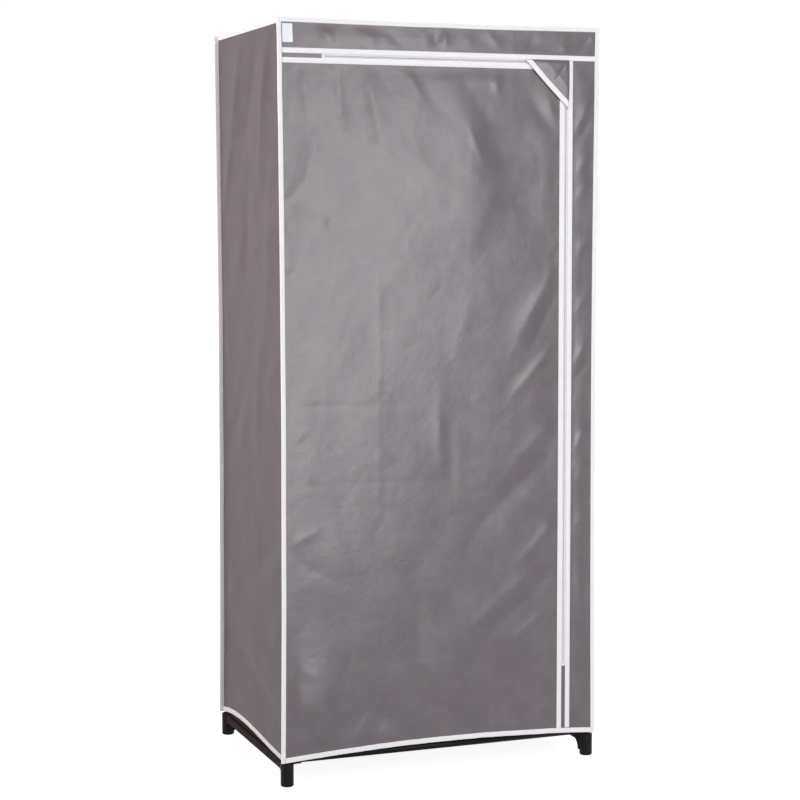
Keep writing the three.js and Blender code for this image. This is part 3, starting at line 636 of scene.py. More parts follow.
def tape_finish(name, colour, shade, ribs, slant, roughness=0.68):
    material, w, shader = finish(name)
    woven = w.use(RIBBED_TAPE, {"Vector": goods_map(w), "Ribs": ribs, "Slant": slant})
    w.fill(shader, {
        "Base Color": w.mix(w.remap(woven["Shade"], 0.3, 0.8, 0.0, 0.5), colour, shade),
        "Roughness": w.remap(woven["Shade"], 0.2, 0.8, roughness - 0.06, roughness + 0.08),
        "Sheen Weight": 0.1,
        "Sheen Roughness": 0.4,
        "Specular IOR Level": 0.3,
    })
    bumped(w, shader, woven["Height"], 0.12 * MM, 0.55)
    return material


def hard_finish(name, colour, dusty, roughness, grain, grain_height, shine, metallic=0.0, scratches=0.25):
    material, w, shader = finish(name)
    wear = w.use(HANDLING_WEAR, {"Vector": object_map(w), "Grain": grain})
    base = w.mix(w.times(wear["Wear"], 0.5), colour, dusty)
    w.fill(shader, {
        "Base Color": w.mix(w.times(wear["Scratch"], scratches), base, dusty),
        "Roughness": w.math("ADD", roughness, w.times(wear["Wear"], 0.14)),
        "Metallic": metallic,
        "Specular IOR Level": shine,
    })
    bumped(w, shader, wear["Grain"], grain_height, 0.5)
    return material


def coil_finish():
    material, w, shader = finish("nylon coil")
    wear = w.use(HANDLING_WEAR, {"Vector": object_map(w), "Grain": 1600.0})
    w.fill(shader, {
        "Base Color": w.mix(w.times(wear["Wear"], 0.5), srgb(241, 240, 244), srgb(232, 231, 236)),
        "Roughness": w.remap(wear["Grain"], 0.3, 0.7, 0.34, 0.46),
        "Specular IOR Level": 0.5,
    })
    bumped(w, shader, wear["Grain"], 0.03 * MM, 0.4)
    return material


CLOTH_COLOURS = (srgb(100, 93, 98), srgb(104, 97, 102), srgb(94, 87, 92))
CLOTH_FINISH = cloth_finish("grey bonded cloth, calendered face", *CLOTH_COLOURS, 0.32, 0.5)
SIDE_FINISH = cloth_finish("grey bonded cloth, matt face", *CLOTH_COLOURS, 0.52, 0.12)
TAPE_FINISH = tape_finish("white binding tape", srgb(239, 238, 241), srgb(231, 229, 234), 950.0, 0.0)
ZIP_TAPE_FINISH = tape_finish("white zip tape", srgb(240, 239, 243), srgb(232, 231, 236), 1250.0, 1.0)
THREAD_FINISH = tape_finish("white thread", srgb(238, 237, 241), srgb(226, 224, 230), 4000.0, 0.8, 0.55)
LABEL_FINISH = tape_finish("plain satin label", srgb(232, 236, 244), srgb(224, 228, 238), 2600.0, 0.4, 0.42)
COIL_FINISH = coil_finish()
PLASTIC_FINISH = hard_finish(
    "black moulded plastic", srgb(16, 12, 12), srgb(30, 24, 24),
    roughness=0.42, grain=1100.0, grain_height=0.05 * MM, shine=0.1,
)
# The rail's colour is its black plastic lifted and warmed to stand in for the reflection that its low shine
# leaves out: a painted reflection.
RAIL_PAINTED_REFLECTION_FINISH = hard_finish(
    "black moulded plastic, dull, painted reflection", srgb(38, 25, 25), srgb(52, 40, 40),
    roughness=0.62, grain=900.0, grain_height=0.06 * MM, shine=0.03,
)
FOOT_FINISH = hard_finish(
    "black moulded plastic, handled", srgb(16, 13, 14), srgb(30, 26, 27),
    roughness=0.4, grain=1100.0, grain_height=0.04 * MM, shine=0.12,
)
STEEL_FINISH = hard_finish(
    "black coated steel", srgb(11, 9, 10), srgb(22, 20, 21),
    roughness=0.36, grain=1500.0, grain_height=0.03 * MM, shine=0.1,
)
METAL_FINISH = hard_finish(
    "nickel plate", srgb(176, 175, 180), srgb(140, 138, 141),
    roughness=0.28, grain=2400.0, grain_height=0.01 * MM, shine=0.5, metallic=1.0, scratches=0.4,
)


# Geometry Nodes: stitches and zip coils

def stitch_line(w, given):
    """A low arch from one needle hole to the next."""
    half = w.times(given["Length"], 0.5)
    start, end = (w.vector(w.times(half, sign)) for sign in (-1.0, 1.0))
    crest = w.vector(z=given["Height"])
    inputs = {"Resolution": 4, "Start": start, "Middle": crest, "End": end}
    return w.first("GeometryNodeCurveQuadraticBezier", inputs)


def coil_line(w, given):
    """One turn of the coil: an upright ellipse."""
    loop = w.first("GeometryNodeCurvePrimitiveCircle", {"Resolution": 9, "Radius": 1.0}, mode="RADIUS")
    size = w.vector(w.times(given["Length"], 0.5), given["Height"], 1.0)
    turn = (math.pi / 2, 0, math.pi / 2)
    return w.first("GeometryNodeTransform", {"Geometry": loop, "Scale": size, "Rotation": turn})


def path_tree(name, line_of, sides):
    """Puts one small part at each step of a path, turned along it and to the outside."""
    tree = bpy.data.node_groups.new(name, "GeometryNodeTree")
    for label, kind in (
        ("Path", "Geometry"), ("Pitch", "Float"), ("Length", "Float"), ("Height", "Float"),
        ("Thread", "Float"), ("Lean", "Float"), ("Outward", "Vector"), ("Seed", "Int"),
        ("Finish", "Material"),
    ):
        tree.interface.new_socket(name=label, in_out="INPUT", socket_type="NodeSocket" + kind)
    tree.interface.new_socket(name="Parts", in_out="OUTPUT", socket_type="NodeSocketGeometry")
    w = Wires(tree)
    given = w.node("NodeGroupInput").outputs
    spacing = {"Curve": given["Path"], "Length": given["Pitch"]}
    spaced = w.first("GeometryNodeResampleCurve", spacing, mode="LENGTH")
    round_wire = {"Resolution": sides, "Radius": given["Thread"]}
    ring = w.first("GeometryNodeCurvePrimitiveCircle", round_wire, mode="RADIUS")
    drawn = {"Curve": line_of(w, given), "Profile Curve": ring, "Fill Caps": True}
    wire = w.first("GeometryNodeCurveToMesh", drawn)
    align = "FunctionNodeAlignRotationToVector"
    along = w.first(align, {"Vector": w.first("GeometryNodeInputTangent")}, axis="X", pivot_axis="AUTO")
    upright = w.first(align, {"Rotation": along, "Vector": given["Outward"]}, axis="Z", pivot_axis="X")
    spread = {2: -0.09, 3: 0.09, "Seed": given["Seed"]}
    chance = w.node("FunctionNodeRandomValue", spread, data_type="FLOAT").outputs[1]
    turn = w.vector(z=w.math("ADD", given["Lean"], chance))
    turned = w.first("FunctionNodeRotateRotation", {0: upright, 1: turn}, rotation_space="LOCAL")
    each = w.first("GeometryNodeInstanceOnPoints", {"Points": spaced, "Instance": wire, "Rotation": turned})
    real = w.first("GeometryNodeRealizeInstances", {0: each})
    soft = w.first("GeometryNodeSetShadeSmooth", {0: real})
    painted = w.first("GeometryNodeSetMaterial", {"Geometry": soft, "Material": given["Finish"]})
    w.node("NodeGroupOutput", {"Parts": painted})
    return tree


STITCHES = path_tree("stitches along a line", stitch_line, 5)
COIL = path_tree("coil along a zip", coil_line, 4)


def along_paths(name, paths, tree, **inputs):
    """Runs a path tree on lines of points, and returns the plain mesh it makes."""
    curve = bpy.data.curves.new(name, "CURVE")
    curve.dimensions = "3D"
    for path in paths:
        spline = curve.splines.new("POLY")
        spline.points.add(len(path) - 1)
        weighted = np.hstack([path, np.ones((len(path), 1))])
        spline.points.foreach_set("co", weighted.astype(np.float32).ravel())
    obj = new_object(name + "_path", curve)
    maker = obj.modifiers.new("maker", "NODES")
    maker.node_group = tree
    sockets = {s.name: s.identifier for s in tree.interface.items_tree if s.in_out == "INPUT"}
    for key, value in inputs.items():
        maker[sockets[key]] = value
    mesh = evaluated(obj)
    bpy.data.objects.remove(obj)
    if not mesh.uv_layers:
        mesh.uv_layers.new(name="goods")
    return new_object(name, mesh)


stitch_lines = {}


def stitched(group, outward, path, lift=1.05 * MM):
    """Notes a line of stitches. The lines of a group become one piece at the end."""
    path = np.asarray(path, float) + np.asarray(outward, float) * lift
    stitch_lines.setdefault(group, []).append((tuple(outward), drifted(path)))


# the front cloth, with the flap

FRONT_FOLDS = [
    (60, 1440, 72, 1180, 95, 5.6, 0.0),
    (-340, 176, -230, 150, 95, 7.0, 0.0),
    (-163, 1440, -134, 1299, 20, 1.9, 0.2),
    (-134, 1299, 2, 1227, 28, 2.6, 0.2),
    (-81, 1446, -50, 1392, 12, 1.6, 0.0),
    (-60, 1425, 18, 1338, 26, -1.4, 0.0),
    (43, 1436, 130, 1280, 36, -2.6, 0.0),
    (53, 1333, 84, 1266, 9, 1.2, 0.2),
    (110, 1446, 121, 1400, 9, 1.0, 0.0),
    (190, 1400, 245, 1325, 20, -1.8, 0.0),
    (232, 1388, 256, 1354, 9, 1.2, 0.0),
    (-275, 1160, -246, 1112, 16, 1.1, 0.0),
    (-139, 1024, -134, 826, 12, 0.4, 0.0),
    (-128, 1012, -98, 1042, 12, 0.3, 0.0),
    (-335, 1190, -292, 1222, 14, 0.8, 0.0),
    (-300, 1440, -285, 1340, 12, 1.1, 0.0),
    (-225, 1444, -215, 1330, 11, -1.2, 0.0),
    (-262, 1330, -300, 1200, 16, 0.9, 0.0),
    (254, 1044, 166, 902, 24, 2.8, 0.25),
    (256, 1000, 190, 870, 12, -1.5, 0.0),
    (258, 889, 152, 776, 18, 2.6, 0.25),
    (250, 850, 203, 818, 6, -1.2, 0.0),
    (258, 730, 150, 630, 22, 1.9, 0.2),
    (254, 672, 62, 488, 32, -2.4, 0.0),
    (258, 515, 171, 430, 16, 2.0, 0.2),
    (210, 416, 64, 300, 24, 2.6, 0.15),
    (250, 406, 88, 266, 18, -1.8, 0.0),
    (232, 322, 165, 268, 10, 1.2, 0.0),
    (14, 744, 20, 585, 16, -1.1, -0.1),
    (-8, 770, -6, 640, 12, 1.0, 0.0),
    (60, 980, 20, 860, 26, 1.3, 0.0),
    (-332, 490, -262, 524, 12, 1.0, 0.0),
    (-332, 470, -225, 410, 16, -0.8, 0.0),
    (-330, 690, -296, 722, 8, 1.0, 0.0),
    (-160, 138, -194, 84, 12, 1.5, 0.2),
    (-128, 160, -138, 96, 10, -1.2, 0.0),
    (-38, 120, -38, 84, 8, 1.0, 0.0),
    (98, 128, 112, 82, 9, -1.4, 0.0),
    (112, 126, 124, 84, 7, 1.1, 0.0),
    (230, 118, 204, 84, 9, 1.2, 0.0),
    (-60, 380, -50, 228, 34, -2.2, 0.0),
    (-50, 232, -30, 120, 22, -1.4, 0.0),
    (-250, 560, -205, 440, 20, 1.0, 0.0),
    (-310, 250, -240, 180, 18, 1.0, 0.2),
    (-180, 720, -120, 640, 22, 0.9, 0.0),
    (120, 1220, 60, 1080, 40, 1.5, 0.0),
]
# Creases from the way the cover was folded in its packet: (height or place, from, to, depth) in mm
PACKING_LEVELS = [
    (770, -345, -55, 0.35), (770, 150, 262, 0.18), (611, -300, 20, 0.25), (423, -230, -40, 0.2),
    (212, -330, -180, 0.25), (1130, -340, -250, 0.15),
]
PACKING_UPRIGHTS = [(-139, 560, 1040, 0.22), (60, 1040, 1380, 0.15), (-250, 700, 1130, 0.12)]
# how far a crease fades before and past its start, and before and past its end
LEVEL_FADE = (0.03, 0.03, 0.05, 0.02)
UPRIGHT_FADE = (0.04, 0.04, 0.06, 0.04)
# the short panel under the top zip's end reaches to here
PANEL_TOP_END = -0.2583


def crease(across, along, row, fade):
    place, start, end, depth = row
    line = across - place * MM - 0.8 * MM * noise(along / 0.05, 0.5, int(place))
    begun = smooth(start * MM - fade[0], start * MM + fade[1], along)
    ended = smooth(end * MM - fade[2], end * MM + fade[3], along)
    return depth * MM * np.exp(-np.abs(line) / 0.0042) * (begun * (1 - ended))


def packing_creases(x, z, levels, uprights):
    total = np.zeros(np.broadcast(x, z).shape)
    for row in levels:
        total -= crease(z, x, row, LEVEL_FADE)
    for row in uprights:
        total += crease(x, z, row, UPRIGHT_FADE)
    return total


def front_relief(x, z):
    """How far the front cloth stands out from its flat plane."""
    left = np.maximum(0, x + SIDE - waist(z))
    right = np.maximum(0, SLOT_LEFT - BAND - x)
    top = np.maximum(0, SLOT_LOW - BAND - z)
    low = np.maximum(0, z - front_hem(x) - BAND)
    edge = np.minimum(np.minimum(left, right), np.minimum(top, low))
    broad = 1.3 * MM * noise(x / 0.16 + 3, z / 0.24, 31) + 0.8 * MM * noise(x / 0.08, z / 0.11 + 5, 32)
    crumple = 0.9 * MM * (creases(x, z, 0.085, 33) - 0.35)
    relief = smooth(0, 0.03, edge) * 0.72 * ridges(x, z, FRONT_FOLDS) + smooth(0, 0.06, edge) * broad
    packed = packing_creases(x, z, PACKING_LEVELS, PACKING_UPRIGHTS)
    relief = relief + smooth(0, 0.02, edge) * (crumple + packed)
    for distance, along, seed in ((left, z, 41), (right, z, 42), (top, x, 43), (low, x, 44)):
        relief = relief + smooth(0, 0.012, edge) * puckers(distance, along, seed)
    return relief


def front_place(x, z):
    """From the flat cloth to its place: the left edge follows the drawn-in seam, the hem its curve."""
    near_left = np.clip(1 - (x + SIDE) / 0.3, 0, 1) ** 2
    placed_x = x + waist(z) * near_left
    placed_z = z + (front_hem(x) - HEM) * hem_share(z)
    y = FRONT - front_relief(placed_x, placed_z)
    return drifted(np.stack([placed_x, y, placed_z], 1))


def make_front():
    step = 0.005
    right, top, low = SLOT_LEFT - EDGE, SLOT_LOW - EDGE, SIDE_ZIP_END - GAP
    us = joined_steps(
        steps(-SIDE, PANEL_TOP_END, step), steps(PANEL_TOP_END, right, step), steps(right, SLOT_RIGHT, 0.004)
    )
    vs = joined_steps(steps(CLOTH_LOW, low, step), steps(low, top, step), steps(top, SLOT_TOP, 0.004))

    def keep(u, v):
        body = (u < right) & (v < top)
        under_side = (u > right) & (v < low)
        under_top = (u < PANEL_TOP_END) & (v > top)
        return body | under_side | under_top

    cloth = sheet_piece("front_cloth", us, vs, front_place, CLOTH_FINISH, keep)
    return folding(cloth, "cover_cloth", "cover_front_panel", "door_flap")


front_cloth = make_front()


# the other cloth panels

HEADER_FOLDS = [
    (-262, 1528, -236, 1484, 12, 1.4, 0.3), (-182, 1524, -140, 1484, 15, 1.5, 0.3),
    (-118, 1524, -92, 1488, 12, -0.7, 0.0), (2, 1530, 5, 1482, 10, 1.4, 0.2),
    (-16, 1528, -18, 1484, 9, -0.9, 0.0), (104, 1522, 124, 1490, 11, 0.9, 0.2),
    (336, 1528, 300, 1488, 8, -1.1, 0.0), (268, 1500, 270, 1484, 10, 1.1, 0.0),
    (-320, 1488, -300, 1482, 8, 0.6, 0.0), (204, 1524, 190, 1488, 14, -0.7, 0.0),
    (60, 1524, 52, 1488, 12, 0.6, 0.0),
]
STRIP_FOLDS = [
    (295, 1500, 295, 40, 36, 0.7, 0.0), (294, 1330, 338, 1398, 9, 1.3, 0.3),
    (294, 1300, 336, 1352, 9, -0.9, 0.0), (295, 1240, 336, 1282, 10, 1.0, 0.2),
    (294, 1190, 330, 1216, 10, 0.8, 0.0), (296, 1068, 336, 1110, 13, 0.9, 0.2),
    (296, 950, 330, 990, 12, 0.8, 0.0), (294, 842, 334, 900, 12, 1.2, 0.3),
    (295, 815, 338, 846, 9, -1.0, 0.0), (294, 660, 322, 702, 8, 1.2, 0.3),
    (300, 600, 336, 640, 12, 0.7, 0.0), (296, 500, 332, 520, 12, 0.8, 0.0),
    (300, 410, 326, 300, 10, 1.3, 0.0), (312, 370, 336, 270, 9, -1.0, 0.0),
    (330, 190, 338, 120, 8, 1.1, 0.0), (300, 180, 326, 88, 12, 0.9, 0.0),
]
SIDE_FOLDS = [
    (60, 1512, 128, 1297, 30, 4.2, 0.3), (128, 1297, 192, 1180, 24, 3.9, 0.3),
    (-134, 1516, -80, 1306, 26, 4.4, 0.3), (-80, 1306, -64, 1210, 28, 2.9, 0.0),
    (-42, 1490, 44, 1330, 34, -4.2, 0.0), (-120, 1500, -168, 1380, 24, -2.6, 0.0),
    (20, 1250, 60, 1000, 36, -2.9, 0.0), (-130, 1200, -110, 960, 30, 2.6, 0.0),
    (88, 748, 196, 662, 20, -2.9, 0.0), (40, 730, 100, 650, 28, 2.1, 0.0),
    (110, 360, 196, 320, 24, 2.6, 0.2), (-170, 500, 30, 380, 38, -3.1, 0.0),
    (-160, 440, 60, 330, 32, 2.3, 0.0), (190, 235, -170, 130, 30, -3.9, 0.3),
    (180, 300, -150, 220, 26, 2.6, 0.0), (-190, 860, -90, 800, 20, 2.1, 0.0),
    (60, 1120, 120, 1010, 28, 2.1, 0.0), (200, 1120, 170, 1010, 20, -2.5, 0.0),
    (200, 1000, 180, 840, 18, 2.0, 0.0), (-190, 330, -120, 260, 20, 1.8, 0.0),
    (-60, 900, -20, 690, 34, 2.1, 0.0),
]
BACK_FOLDS = [
    (-300, 1500, -180, 1330, 22, 4.3, 0.3), (290, 1490, 150, 1350, 24, 4.3, 0.3),
    (-60, 1510, -40, 1330, 28, -3.8, 0.0), (120, 1500, 60, 1240, 30, 3.5, 0.0),
    (-290, 900, -120, 820, 24, 3.5, 0.0), (280, 760, 120, 640, 26, 4.1, 0.2),
    (-240, 560, -90, 420, 28, -4.1, 0.0), (200, 500, 40, 330, 30, 3.8, 0.0),
    (-200, 260, -120, 110, 20, 3.2, 0.0), (120, 240, 190, 100, 22, -3.2, 0.0),
    (0, 1130, 20, 880, 32, 2.9, 0.0), (300, 1180, 240, 1010, 20, 2.9, 0.0),
    (-200, 1240, -290, 1090, 22, 2.6, 0.0), (-80, 760, 40, 640, 26, 2.6, 0.0),
]


def panel_relief(u, v, edges, folds, seed, crumple=0.9, pucker=0.5, levels=(), uprights=()):
    """Relief of a panel. edges is a list of (distance, along, reach) to the seams round it."""
    nearest = edges[0][0]
    for distance, _, _ in edges[1:]:
        nearest = np.minimum(nearest, distance)
    nearest = np.maximum(nearest, 0)
    broad = 1.2 * MM * noise(u / 0.15, v / 0.22, seed) + 0.7 * MM * noise(u / 0.07, v / 0.1, seed + 1)
    relief = smooth(0, 0.022, nearest) * ridges(u, v, folds) + smooth(0, 0.05, nearest) * broad
    relief = relief + smooth(0, 0.016, nearest) * (crumple * MM * (creases(u, v, 0.08, seed + 2) - 0.35))
    relief = relief + smooth(0, 0.016, nearest) * packing_creases(u, v, levels, uprights)
    for k, (distance, along, reach) in enumerate(edges):
        gathers = puckers(np.maximum(distance, 0), along, seed + 10 + k, pucker, reach)
        relief = relief + smooth(0, 0.01, nearest) * gathers
    return relief


def header_place(x, z):
    edges = [(SIDE - np.abs(x), z, 0.012), (ROOF - z, x, 0.012), (z - SLOT_TOP - BAND, x, 0.012)]
    relief = panel_relief(x, z, edges, HEADER_FOLDS, 60, 0.5, 0.35)
    keep_in = SIDE - waist(z)
    return drifted(np.stack([np.clip(x, -keep_in, keep_in), FRONT - relief, z], 1))


def strip_place(x, z):
    share = (x - SLOT_RIGHT - EDGE) / (SIDE - SLOT_RIGHT - EDGE)
    placed_x = x - waist(z) * share
    placed_z = z + (front_hem(placed_x) - HEM) * hem_share(z)
    edges = [
        (placed_x - SLOT_RIGHT - BAND, z, 0.014), (SIDE - waist(z) - placed_x, z, 0.014),
        (placed_z - front_hem(placed_x) - BAND, x, 0.014), (SLOT_TOP - z, x, 0.014),
    ]
    relief = panel_relief(placed_x, placed_z, edges, STRIP_FOLDS, 70, 0.6, 0.45)
    return drifted(np.stack([placed_x, FRONT - relief, placed_z], 1))


def side_maker(sign, folds, seed, hem_seed, levels):
    def place(u, v):
        # u runs from the back seam to the front seam
        y = BACK - u
        hem_level = side_hem(y, hem_seed)
        z = v + (hem_level - HEM) * hem_share(v)
        edges = [(u, v, 0.018), (DEPTH - u, v, 0.018), (ROOF - v, u, 0.014), (z - hem_level - BAND, u, 0.014)]
        relief = panel_relief(y, z, edges, folds, seed, levels=levels)
        x = sign * (SIDE - waist(v) + relief)
        return drifted(np.stack([x, y, z], 1))
    return place


def back_place(u, v):
    x = -u
    placed_x = x - waist(v) * (x / SIDE)
    hem_level = front_hem(x, BACK_HEM_SEED)
    z = v + (hem_level - HEM) * hem_share(v)
    edges = [(SIDE - np.abs(x), v, 0.018), (ROOF - v, x, 0.014), (z - hem_level - BAND, x, 0.014)]
    relief = panel_relief(x, z, edges, BACK_FOLDS, 90, levels=BACK_LEVELS, uprights=[(0, 60, 1530, 0.45)])
    return drifted(np.stack([placed_x, BACK + relief, z], 1))


def roof_place(u, v):
    inside = smooth(0, 0.03, np.minimum(SIDE - np.abs(u), DEPTH / 2 - np.abs(v)))
    relief = 0.5 * MM * (creases(u, v, 0.08, 97) - 0.35) * inside
    return drifted(np.stack([u, v + MIDDLE, ROOF - GAP + relief], 1))


def floor_place(u, v):
    sag = -3.5 * MM * np.clip(1 - (v / 0.2) ** 2, 0, 1) * np.clip(1 - (u / 0.305) ** 2, 0, 1)
    ripple = 0.6 * MM * noise(u / 0.05, v / 0.06, 98) * smooth(0, 0.03, 0.2 - np.abs(v))
    return np.stack([u, v + MIDDLE, floor_high.z + sag + ripple], 1)


def panel(name, node, us, vs, place, material):
    piece = outwards(sheet_piece(name, us, vs, place, material))
    return fixed(piece, "cover_cloth", node)


LEFT_HEM_SEED, RIGHT_HEM_SEED, BACK_HEM_SEED = 13, 14, 12
LEFT_LEVELS = [(785, -230, 235, 0.5), (1160, -230, 100, 0.2), (420, -200, 235, 0.3)]
RIGHT_LEVELS = [(785, -230, 235, 0.5)]
BACK_LEVELS = [(770, -340, 340, 0.5), (1150, -340, 340, 0.35), (400, -340, 340, 0.35)]
# the right side's folds are the left's, turned about and 25 mm lower
RIGHT_FOLDS = [(10 - y0, z0 - 25, 10 - y1, z1 - 25, *form) for y0, z0, y1, z1, *form in SIDE_FOLDS]

cloth_step = 0.006
fine_step, roof_step, floor_step = 0.004, 0.008, 0.009
side_us = steps(1.6 * MM, DEPTH - 1.6 * MM, cloth_step)
side_vs = steps(CLOTH_LOW, ROOF, cloth_step)
floor_low, floor_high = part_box("floor_cloth")
header_cloth = panel(
    "header_cloth", "cover_header", steps(-SIDE, SIDE, 0.005), steps(SLOT_TOP + EDGE, ROOF, fine_step),
    header_place, CLOTH_FINISH,
)
strip_cloth = panel(
    "strip_cloth", "cover_strip_right", steps(SLOT_RIGHT + EDGE, SIDE, fine_step),
    steps(CLOTH_LOW, SLOT_TOP - GAP, cloth_step), strip_place, CLOTH_FINISH,
)
left_cloth = panel(
    "left_cloth", "cover_left", side_us, side_vs,
    side_maker(-1, SIDE_FOLDS, 50, LEFT_HEM_SEED, LEFT_LEVELS), SIDE_FINISH,
)
right_cloth = panel(
    "right_cloth", "cover_right", DEPTH - side_us[::-1], side_vs,
    side_maker(1, RIGHT_FOLDS, 55, RIGHT_HEM_SEED, RIGHT_LEVELS), SIDE_FINISH,
)
back_cloth = panel(
    "back_cloth", "cover_back", steps(-SIDE, SIDE, cloth_step), side_vs, back_place, CLOTH_FINISH
)
roof_cloth = panel(
    "roof_cloth", "cover_roof", steps(-SIDE + 1.5 * MM, SIDE - 1.5 * MM, roof_step),
    steps(-DEPTH / 2 + 1.6 * MM, DEPTH / 2 - 1.6 * MM, roof_step), roof_place, SIDE_FINISH,
)
floor_cloth = panel(
    "floor_sheet", "floor_cloth", steps(floor_low.x, floor_high.x, floor_step),
    steps(floor_low.y - MIDDLE, floor_high.y - MIDDLE, floor_step), floor_place, SIDE_FINISH,
)


# bound seams and hems

HALF_SEAM = 1.2 * MM  # half the thickness of a bound seam


def upright_seam(name, node, sign, y, outward):
    z = steps(CORNER + 0.5 * MM, ROOF + GAP, 0.006)
    x = sign * (SIDE - waist(z) + 0.4 * MM * noise(z / 0.12, 0.5, len(name)))
    centres = np.stack([x, np.full_like(z, y), z], 1)
    section = tape_section(SEAM + GAP, HALF_SEAM, (2.4 * MM,), 0.15 * MM, both=True)
    piece = sweep(name, centres, (sign, 0, 0), outward, section, TAPE_FINISH)
    line = centres + np.array([sign * 2.4 * MM, 0, 0])
    stitched("fixed", outward, line)
    stitched("fixed", tuple(-c for c in outward), line)
    return fixed(piece, "white_tape", node)


def roof_seam(name, node, start, end, outward):
    points = path_between((*start, ROOF + GAP), (*end, ROOF + GAP))
    section = tape_section(TOP - ROOF - GAP, HALF_SEAM, (5.4 * MM,), 0.15 * MM, both=True, count=21)
    piece = sweep(name, points, OUT_UP, outward, section, TAPE_FINISH)
    stitched("fixed", outward, points + np.array([0, 0, 5.4 * MM]))
    return fixed(piece, "white_tape", node)


for face, y, outward in (("front", FRONT + HALF_SEAM, OUT_FRONT), ("back", BACK - HALF_SEAM, OUT_BACK)):
    for side, sign in (("left", -1), ("right", 1)):
        upright_seam(f"seam_{side}_{face}", f"seam_{face}_{side}", sign, y, outward)
for face, y, outward in (("front", FRONT + HALF_SEAM, OUT_FRONT), ("back", BACK - HALF_SEAM, OUT_BACK)):
    reach = HALF_WIDTH - 0.4 * MM
    roof_seam("top_seam_" + face, "roof_seam_" + face, (-reach, y), (reach, y), outward)
for face, x, outward in (("left", -SIDE + HALF_SEAM, OUT_LEFT), ("right", SIDE - HALF_SEAM, OUT_RIGHT)):
    start, end = (x, BACK - 2.8 * MM), (x, FRONT + 2.8 * MM)
    roof_seam("top_seam_" + face, "roof_seam_" + face, start, end, outward)


def hem_section():
    """Tape folded over the cloth's lower edge: the outer leaf, the fold and the inner leaf."""
    outer = tape_section(BAND, 1.0 * MM, (BAND - STITCH_IN,), 0.2 * MM, 0.3 * MM)
    band = BAND / MM
    inner = [
        (band, 0.25), (1.2, 0.25), (1.2, -1.05), (band, -1.05), (band, -1.9),
        (band / 2, -2.1), (0.9, -2.0), (0.0, -1.2), (-0.25, -0.4),
    ]
    return outer[:-2] + [(across * MM, out * MM) for across, out in inner]


def hem(side, x, y, z, outward):
    centres = np.stack(np.broadcast_arrays(x, y, z), 1)
    piece = sweep("hem_tape_" + side, centres, OUT_UP, outward, hem_section(), TAPE_FINISH)
    stitched("fixed", outward, centres + np.array([0, 0, BAND - STITCH_IN]), 1.15 * MM)
    return fixed(piece, "white_tape", "hem_" + side)


hem_x = steps(-SIDE + GAP, SIDE - GAP, 0.006)
hem_y = steps(FRONT + 2.8 * MM, BACK - 2.8 * MM, 0.006)
hem("front", hem_x, FRONT, front_hem(hem_x), OUT_FRONT)
back_tape = hem("back", hem_x, BACK, front_hem(hem_x, BACK_HEM_SEED), OUT_BACK)
left_tape = hem("left", -SIDE, hem_y, side_hem(hem_y, LEFT_HEM_SEED), OUT_LEFT)
right_tape = hem("right", SIDE, hem_y, side_hem(hem_y, RIGHT_HEM_SEED), OUT_RIGHT)


# bindings beside the zips

BAND_STITCH = 8.4 * MM
# section of the folded edge, from the zip's side of the cloth round to its back, in mm
EDGE_FOLD = ((0, -0.85), (0.1, -0.95), (0.4, -0.95), (0.5, -0.85), (0.5, 0.3), (0, 0.3))


def binding(name, start, end, open_start, open_end, across, group="fixed"):
    """A flat tape on the front's plane. Along the open zip its edge folds in over the cloth's edge."""
    start, end, open_start, open_end = ((x, FRONT, z) for x, z in (start, end, open_start, open_end))
    points = path_between(start, end)
    section = tape_section(BAND, 0.95 * MM, [BAND_STITCH], 0.22 * MM, 0.25 * MM)
    flat = sweep(name + "_flat", points, across, OUT_FRONT, section, TAPE_FINISH)
    folded = [(a * MM, o * MM) for a, o in EDGE_FOLD]
    fold = sweep(name + "_fold", path_between(open_start, open_end), across, OUT_FRONT, folded, TAPE_FINISH)
    stitched(group, OUT_FRONT, points + np.asarray(across, float) * BAND_STITCH)
    return merged(name, [flat, fold])


low_level = max(front_hem(np.array([SLOT_LEFT - BAND / 2, SLOT_RIGHT + BAND / 2]))) + BAND + 0.2 * MM
side_top = SLOT_LOW - BAND - GAP
strip_top = SLOT_TOP - GAP
edge_x = SIDE - waist(SLOT_TOP) - GAP
header_band = fixed(binding(
    "header_band", (-edge_x, SLOT_TOP), (edge_x, SLOT_TOP), (TOP_ZIP_END, SLOT_TOP), (SLOT_RIGHT, SLOT_TOP),
    OUT_UP,
), "white_tape", "header_binding")
strip_band = fixed(binding(
    "strip_band", (SLOT_RIGHT, low_level), (SLOT_RIGHT, strip_top), (SLOT_RIGHT, SIDE_ZIP_END),
    (SLOT_RIGHT, strip_top), OUT_RIGHT,
), "white_tape", "strip_binding")
top_band = folding(binding(
    "top_band", (-edge_x, SLOT_LOW), (SLOT_LEFT, SLOT_LOW), (TOP_ZIP_END, SLOT_LOW), (SLOT_LEFT, SLOT_LOW),
    OUT_DOWN, "flap",
), "white_tape", "panel_top_binding", "flap_top_binding")
side_band = folding(binding(
    "side_band", (SLOT_LEFT, low_level), (SLOT_LEFT, side_top), (SLOT_LEFT, SIDE_ZIP_END),
    (SLOT_LEFT, side_top), OUT_LEFT, "flap",
), "white_tape", "panel_side_binding", "flap_side_binding")


# zips

TOP_RUN = ((TOP_ZIP_START, FRONT, ZIP_Z), (TOP_ZIP_END, FRONT, ZIP_Z))
SIDE_RUN = ((ZIP_X, FRONT, SIDE_ZIP_START), (ZIP_X, FRONT, SIDE_ZIP_END))


def circle(radius_x, radius_y, count):
    angles = np.linspace(0, 2 * math.pi, count + 1)[:-1]
    return [(radius_x * math.cos(t), radius_y * math.sin(t)) for t in angles]


